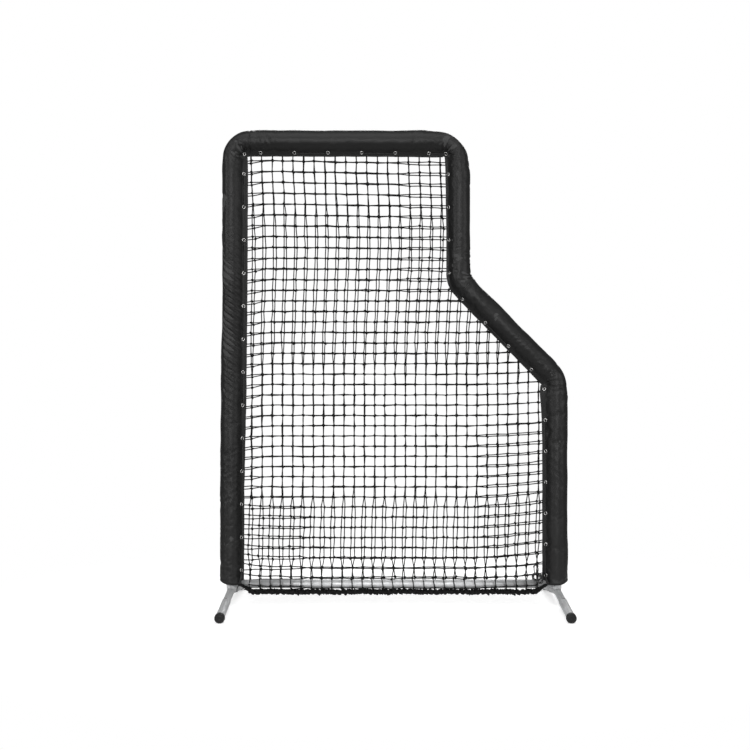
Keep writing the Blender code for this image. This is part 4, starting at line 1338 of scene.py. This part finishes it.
def tie(side, name, hole):
    """The two turns that tie one rope end up."""
    end = Vector(rope_middle[0 if side < 0 else -1])
    anchor = HOLES[name][hole]["front"][0]
    below = Vector((anchor.x, TIE_FRONT, TIE_HEIGHT))
    for turn in range(2):
        shift = Vector((side * 0.004 * turn, -0.003 * turn, 0.004 * turn))
        way = [end + shift, end.lerp(below, 0.5) + shift, below + shift, anchor + Vector((0, -0.006, -0.01))]
        yield softened(way)


def snarl(x, z, wide, high, turns, phase):
    turn = np.arange(phase, phase + 2 * math.pi * turns, 0.35)
    wander = 1 + 0.25 * np.sin(turn * 1.37 + phase)
    y = SNARL_FRONT - 0.0035 * np.sin(turn * 0.61)
    return np.stack([x + wide * wander * np.cos(turn), y, z + high * wander * np.sin(turn)], axis=-1)


tail = Vector((LEFT + 0.031, -0.020, 0.086))
tail = softened([tail + Vector((0.012, -0.006, 0.012)), tail, tail + Vector((-0.001, 0.002, -0.020))])
ends = [*tie(-1, "left", 0), *tie(1, "right", -1), tail, *(snarl(*values) for values in SNARLS)]
show_cord("rope_ends", ends, END_RADIUS)
print(len(ends), "cords at the rope's ends")

# %% [markdown]
# ## Steel tubes
#
# The rail, the uprights' lower ends and the feet are round tube with a visible wall at the cut
# ends. Each is a loft of rings along its centre line: out along the outside and back along the
# bore, so the wall is closed.

# %% Tube helper
TUBE_SIDES, BROKEN_EDGE = 40, 0.0004


def rings_along(path, radii, sides=TUBE_SIDES):
    """Rings of points square to a path, which stays in a plane square to X or Y."""
    way = np.gradient(path, axis=0)
    way /= np.linalg.norm(way, axis=1, keepdims=True)
    first = np.cross((0.0, 1.0, 0.0) if abs(way[:, 1]).max() < 0.5 else (1.0, 0.0, 0.0), way)
    first /= np.linalg.norm(first, axis=1, keepdims=True)
    second = np.cross(way, first)
    turn = np.linspace(0, 2 * math.pi, sides, endpoint=False)[None, :, None]
    circle = np.cos(turn) * first[:, None] + np.sin(turn) * second[:, None]
    return path[:, None] + circle * radii[:, None, None]


def show_tube(name, path, radius, wall, body, node, trim=lambda points: points):
    """A tube with a closed wall and slightly broken edges. trim(points) may cope its ends."""
    path = np.asarray(path, float)

    def inset(end, after):
        return end + (after - end) / np.linalg.norm(after - end) * BROKEN_EDGE

    outside = [path[0], inset(path[0], path[1]), *path[1:-1], inset(path[-1], path[-2]), path[-1]]
    radii = np.full(len(outside), radius)
    radii[[0, -1]] -= BROKEN_EDGE
    inner = rings_along(path, np.full(len(path), radius - wall))[::-1]
    points = trim(np.concatenate([rings_along(np.array(outside), radii), inner]))
    round_way = np.linspace(0, 2 * math.pi * radius, TUBE_SIDES + 1)
    uv = np.stack(np.meshgrid(np.append(arc_lengths(points[:, 0]), 0), round_way, indexing="ij"), -1)
    mesh = cleaned(loft(name, points, close_rows=True, uv=uv))
    show(name, mesh, GALVANISED, body, [node])


# %% [markdown]
# ### Rail and uprights
#
# The rail is cut to the round of the uprights and welded to them. The bead is a ring that lies in
# the corner of the two tubes, and its thickness swells with each puddle of the weld.

# %% Rail and uprights
FRAME_WALL, RAIL_INSET, RAIL_SUPPORT = 0.00165, 0.008, 0.3
BEAD_RADIUS, BEAD_SEAT, BEAD_PROUD, BEAD_OVAL, PUDDLE = 0.0026, 0.0008, 0.0006, 1.03, 0.0035


def coped(points):
    """The rail's ends cut to the round of the uprights."""
    depth = np.clip(points[..., 1], -TUBE_RADIUS, TUBE_RADIUS)
    reach = RIGHT - np.sqrt((TUBE_RADIUS + SEAM_GAP) ** 2 - depth**2)
    at_end = np.abs(points[..., 0]) > RIGHT - 0.03
    points[..., 0] = np.where(at_end, np.sign(points[..., 0]) * reach, points[..., 0])
    return points


def weld_path(x):
    """Round the rail where it meets an upright, just proud of both."""
    turn = np.linspace(0, 2 * math.pi, 72)
    y, z = TUBE_RADIUS * np.cos(turn), RAIL_HEIGHT + TUBE_RADIUS * np.sin(turn)
    out = np.sqrt((TUBE_RADIUS + BEAD_SEAT) ** 2 - np.minimum(y**2, TUBE_RADIUS**2)) + BEAD_PROUD
    return np.stack([x - math.copysign(1, x) * out, y * BEAD_OVAL, z], -1)


rail_stops = (-RIGHT + RAIL_INSET, -RAIL_SUPPORT, RAIL_SUPPORT, RIGHT - RAIL_INSET)
rail_path = [(x, 0, RAIL_HEIGHT) for x in rail_stops]
show_tube("bottom_rail", rail_path, TUBE_RADIUS, FRAME_WALL, "frame", "bottom_rail_tube", coped)
for side, x in SIDES:
    node = f"{side}_lower_tube"
    low, high = (corner.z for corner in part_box(node))
    path = [(x, 0, z) for z in (low, low + 0.1, high)]
    show_tube(f"{side}_upright", path, TUBE_RADIUS, FRAME_WALL, "frame", node)
    path = weld_path(x)
    puddles = BEAD_RADIUS * (0.82 + 0.18 * np.abs(np.sin(arc_lengths(path) * math.pi / PUDDLE)))
    bead = cleaned(loft(f"{side}_rail_weld", rings_along(path, puddles, 10)))
    show(f"{side}_rail_weld", bead, GALVANISED, "frame")
print("weld beads", round(float(arc_lengths(path)[-1]), 3), "m round")

# %% [markdown]
# ## Feet
#
# Each foot is a tube bent over its middle, with a straight arm slipped over each end and a stub on
# top that the upright slips over. The arms are the wider tube, so the step where each one takes
# the inner tube shows in the photograph. The slope follows from the height and the reach.

# %% Feet
FOOT_RADIUS, ARM_RADIUS, STUB_RADIUS, FOOT_WALL, ARM_WALL = 0.0167, 0.01905, 0.0171, 0.002, 0.00205
FOOT_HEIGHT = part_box("left_foot_tube")[1].z - FOOT_RADIUS
FOOT_FLAT, FOOT_BEND, FOOT_REST = 0.026, 0.150, 0.4084
ARM_START, ARM_OVERLAP = 0.165, 0.040
CAP_RADIUS, CAP_DEPTH, CAP_END, CAP_EDGE, CAP_FLAT = 0.0225, 0.015, 0.004, 0.002, 0.0012
rest_out, rest_down = FOOT_REST - FOOT_FLAT, FOOT_BEND - FOOT_HEIGHT - CAP_FLAT
slant = math.asin((FOOT_BEND - CAP_RADIUS) / math.hypot(rest_out, rest_down))
FOOT_SLOPE = slant - math.atan2(rest_down, rest_out)
cap_end = (SEAM_GAP + CAP_END - CAP_EDGE) * math.cos(FOOT_SLOPE)
ARM_END = FOOT_REST - cap_end + CAP_RADIUS * math.sin(FOOT_SLOPE)


def foot_point(x, reach):
    """A point of a foot's centre line, level in the middle, bent over and then straight down."""
    out = abs(reach) - FOOT_FLAT
    turn = min(FOOT_SLOPE, math.asin(np.clip(out / FOOT_BEND, 0, 1)))
    drop = FOOT_BEND * (1 - math.cos(turn)) + max(0, out - FOOT_BEND * math.sin(turn)) * math.tan(turn)
    return (x, reach, FOOT_HEIGHT - drop)


def saddle(points):
    """The stub's lower end cut to the round of the foot tube."""
    centre = min((LEFT, RIGHT), key=lambda x: abs(points[0, 0, 0] - x))
    across = np.clip(points[..., 0] - centre, -FOOT_RADIUS, FOOT_RADIUS)
    seat = FOOT_HEIGHT + np.sqrt(FOOT_RADIUS**2 - across**2) + SEAM_GAP
    points[..., 2] = np.where(points[..., 2] < FOOT_HEIGHT + 0.03, seat, points[..., 2])
    return points


for side, x in SIDES:
    body = f"{side}_foot"
    line = [foot_point(x, y) for y in np.linspace(-1, 1, 49) * (ARM_START + ARM_OVERLAP)]
    show_tube(f"{side}_foot_bar", line, FOOT_RADIUS, FOOT_WALL, body, f"{side}_foot_tube")
    path = [(x, 0, z) for z in (FOOT_HEIGHT, FOOT_HEIGHT + 0.05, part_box(f"{side}_foot_stub")[1].z)]
    show_tube(f"{side}_spigot", path, STUB_RADIUS, FOOT_WALL, body, f"{side}_foot_stub", saddle)
    for end, facing in ENDS:
        line = [foot_point(x, facing * reach) for reach in np.linspace(ARM_START, ARM_END, 12)]
        show_tube(f"{side}_{end}_leg", line, ARM_RADIUS, ARM_WALL, body, f"{side}_{end}_arm")
print("feet slope", round(math.degrees(FOOT_SLOPE), 1), "degrees")

# %% [markdown]
# ## Caps
#
# Black moulded caps close the arms. Each has gripping ribs round its barrel, a rounded edge, a
# ring moulded into its face and a flat where it stands on the floor.

# %% Caps
CAP_RIBS, RIB_HEIGHT, CAP_ROUND, CAP_DRAFT = 20, 0.0005, 0.0030, 0.0005
face = SEAM_GAP + CAP_END
CAP_PROFILE = [(0.0, face - 0.0006), (0.0045, face - 0.0006), (0.0055, face), (0.0120, face)]
CAP_PROFILE += [(0.0128, face - 0.0007), (0.0150, face - 0.0007), (0.0158, face), (CAP_RADIUS - 0.0035, face)]
for turn in np.linspace(0, math.pi / 2, 6)[1:]:
    edge = (CAP_RADIUS - 0.0035 + CAP_ROUND * math.sin(turn), face - CAP_ROUND + CAP_ROUND * math.cos(turn))
    CAP_PROFILE.append(edge)
CAP_PROFILE += [(CAP_RADIUS - CAP_DRAFT, -CAP_DEPTH * k / 6) for k in range(0, 6)]
CAP_PROFILE += [(CAP_RADIUS - CAP_DRAFT, -CAP_DEPTH + 0.0006), (CAP_RADIUS - 0.0011, -CAP_DEPTH)]
CAP_PROFILE += [(ARM_RADIUS + SEAM_GAP, -CAP_DEPTH), (ARM_RADIUS + SEAM_GAP, SEAM_GAP), (0.0, SEAM_GAP)]


def ribs(row, turn):
    radius, height = CAP_PROFILE[row]
    on_barrel = radius > CAP_RADIUS - 0.001 and -CAP_DEPTH + 0.002 < height < -0.001
    return on_barrel * RIB_HEIGHT * np.clip(np.cos(CAP_RIBS * turn) * 1.6, -1, 1)


for side, x in SIDES:
    for end, facing in ENDS:
        cap = turned(f"{side}_{end}_foot_cap", CAP_PROFILE, CAP_RIBS * 6, ribs)
        axis = Vector((0, facing * math.cos(FOOT_SLOPE), -math.sin(FOOT_SLOPE))).to_track_quat("Z", "Y")
        cap.transform(Matrix.Translation(foot_point(x, facing * ARM_END)) @ axis.to_matrix().to_4x4())
        for vertex in cap.vertices:
            vertex.co.z = max(vertex.co.z, 0.0)
        show(f"{side}_{end}_foot_cap", cap, MOULDED, f"{side}_foot", [f"{side}_{end}_cap"])
print("cap faces", len(cap.polygons))

# %% [markdown]
# ## Screws
#
# One self-tapping screw pins each arm to the foot tube. Its pan head is a turned dome with a cross
# recess pressed into it. The splice screws are hidden under the pads and keep their CAD shape.

# %% Screws
HEAD_RADIUS, HEAD_HEIGHT, SHANK_RADIUS, SHANK_LENGTH = 0.0050, 0.0026, 0.0024, 0.006
RECESS_REACH, RECESS_HALF, RECESS_DEPTH = 0.0030, 0.0006, 0.0012


def screw_unit():
    roll = np.linspace(0, 1.5, 14)
    dome = [(HEAD_RADIUS * math.sin(a), HEAD_HEIGHT * (0.25 + 0.75 * math.cos(a))) for a in roll]
    shank = [(HEAD_RADIUS, 0.0), (SHANK_RADIUS, 0.0), (SHANK_RADIUS, -SHANK_LENGTH), (0.0, -SHANK_LENGTH)]
    mesh = turned("screw_unit", dome + shank, 48)
    for vertex in mesh.vertices:
        x, y, z = vertex.co
        if z > 0 and math.hypot(x, y) < RECESS_REACH and min(abs(x), abs(y)) < RECESS_HALF:
            vertex.co.z -= RECESS_DEPTH * (1 - math.hypot(x, y) / RECESS_REACH)
    return mesh


for side, x in SIDES:
    places = []
    for _, facing in ENDS:
        upward = Vector((0, facing * math.sin(FOOT_SLOPE), math.cos(FOOT_SLOPE)))
        seat = Vector(foot_point(x, facing * (ARM_START + ARM_OVERLAP / 2)))
        places.append((seat + upward * (ARM_RADIUS + SEAM_GAP), upward))
    heads = copied(f"{side}_foot_screws", screw_unit(), places, ZINC)
    nodes = [f"{side}_{end}_arm_screw" for end, _ in ENDS]
    show(f"{side}_foot_screws", heads, ZINC, f"{side}_foot", nodes)
print("screw heads", len(heads.polygons), "faces a foot")

# %% [markdown]
# The steel that stays hidden in the pads keeps its CAD solids. It only gets the finish.

# %% Finish of the hidden steel
hidden_steel = {name: node for name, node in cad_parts.items() if not node.hide_render}
for name, node in hidden_steel.items():
    slot = node.material_slots[0]
    slot.link = "OBJECT"
    slot.material = ZINC if "screw" in name else GALVANISED
print(len(hidden_steel), "CAD nodes stay")

# %% [markdown]
# ## Camera
#
# The photograph is a studio shot by a level camera far in front. This one's place and lens put the
# corners of the frame where the photograph has them.

# %% Camera
CAMERA_PLACE, LENS, SENSOR = (-0.0865, -5.6, 1.049), 59.05, 36.0
camera_data = bpy.data.cameras.new("camera")
camera_data.lens, camera_data.sensor_width = LENS, SENSOR
camera = placed("camera", camera_data)
camera.location, camera.rotation_euler = CAMERA_PLACE, (math.radians(90), 0, 0)
bpy.context.scene.camera = camera
print("camera at", CAMERA_PLACE)

# %% [markdown]
# ## Light
#
# A wide soft light over the camera, another overhead, one at each side for the pads' rounds and one
# behind for the rear. Only the camera sees the world as pure white, so that the black covers aren't
# washed out by light from behind.

# %% Lights and world
SOFTBOXES = (  # name, place, the height it is aimed at, size, watts
    ("front", (-0.3, -6.4, 2.0), 1.1, (3.6, 2.6), 185),
    ("top", (0.0, -1.8, 4.6), 0.3, (4.4, 3.0), 90),
    ("left", (-4.4, -3.0, 1.8), 0.9, (1.8, 2.6), 75),
    ("right", (4.4, -3.0, 1.8), 0.9, (1.8, 2.6), 65),
    ("rear", (0.4, 4.8, 4.2), 1.0, (4.0, 2.6), 160),
)
WORLD_LEVEL, FLOOR_LEVEL, FLOOR_GLOW = 0.20, 0.86, 0.47

for name, place, height, size, power in SOFTBOXES:
    light = bpy.data.lights.new(f"{name}_softbox", "AREA")
    light.shape, light.size, light.size_y, light.energy = "RECTANGLE", *size, power
    lamp = placed(f"{name}_softbox", light)
    lamp.location, lamp.visible_camera = place, False
    lamp.rotation_euler = (Vector((0, 0, height)) - Vector(place)).to_track_quat("-Z", "Y").to_euler()


def camera_only(graph, other, seen):
    """One grey for the camera's own rays and another for all the rest."""
    rays = graph.add("ShaderNodeLightPath", output="Is Camera Ray")
    return graph.mix(rays, grey(other), grey(seen))


world = bpy.data.worlds.new("studio")
bpy.context.scene.world = world
world.use_nodes = True
sky = Graph(world.node_tree)
sky.give(world.node_tree.nodes["Background"].inputs["Color"], camera_only(sky, WORLD_LEVEL, 1.0))
bpy.context.scene.view_settings.view_transform = "Standard"
print(len(SOFTBOXES), "softboxes")

# %% [markdown]
# ## Floor
#
# The object throws a faint shadow on a white ground that has no edge in the photograph. A plane
# does that when its shader glows a little for the camera and turns transparent further out.

# %% Floor
FLOOR_SIZE, FLOOR_CLEAR, FLOOR_EDGE = 6.0, 1.15, 2.1


def make_floor():
    """A white disc that takes shadows near the object and fades into the white ground."""
    bpy.ops.mesh.primitive_plane_add(size=FLOOR_SIZE, location=(0, 0, 0))
    floor = bpy.context.object
    floor.name = "floor"
    white = {"Base_Color": grey(FLOOR_LEVEL), "Roughness": 0.9, "Emission_Strength": 1.0}

    def glow(surface):
        return {"Emission Color": camera_only(surface, 0.0, FLOOR_GLOW)}

    material = make_finish("white_floor", glow, **white)
    paint, nodes = Surface(material.node_tree), material.node_tree.nodes
    away = paint.add("ShaderNodeVectorMath", {"operation": "LENGTH"}, {0: paint.place()}, "Value")
    reach = {0: away, 1: FLOOR_CLEAR, 2: FLOOR_EDGE, 3: 0.0, 4: 1.0}
    fade = paint.add("ShaderNodeMapRange", {"interpolation_type": "SMOOTHSTEP"}, reach)
    solid = Value(paint, nodes["Principled BSDF"], "BSDF")
    clear = paint.add("ShaderNodeBsdfTransparent")
    mixed = paint.add("ShaderNodeMixShader", {}, {0: fade, 1: solid, 2: clear})
    paint.give(nodes["Material Output"].inputs["Surface"], mixed)
    floor.data.materials.append(material)


make_floor()
print("floor", FLOOR_SIZE, "m, faded out at", FLOOR_EDGE, "m")
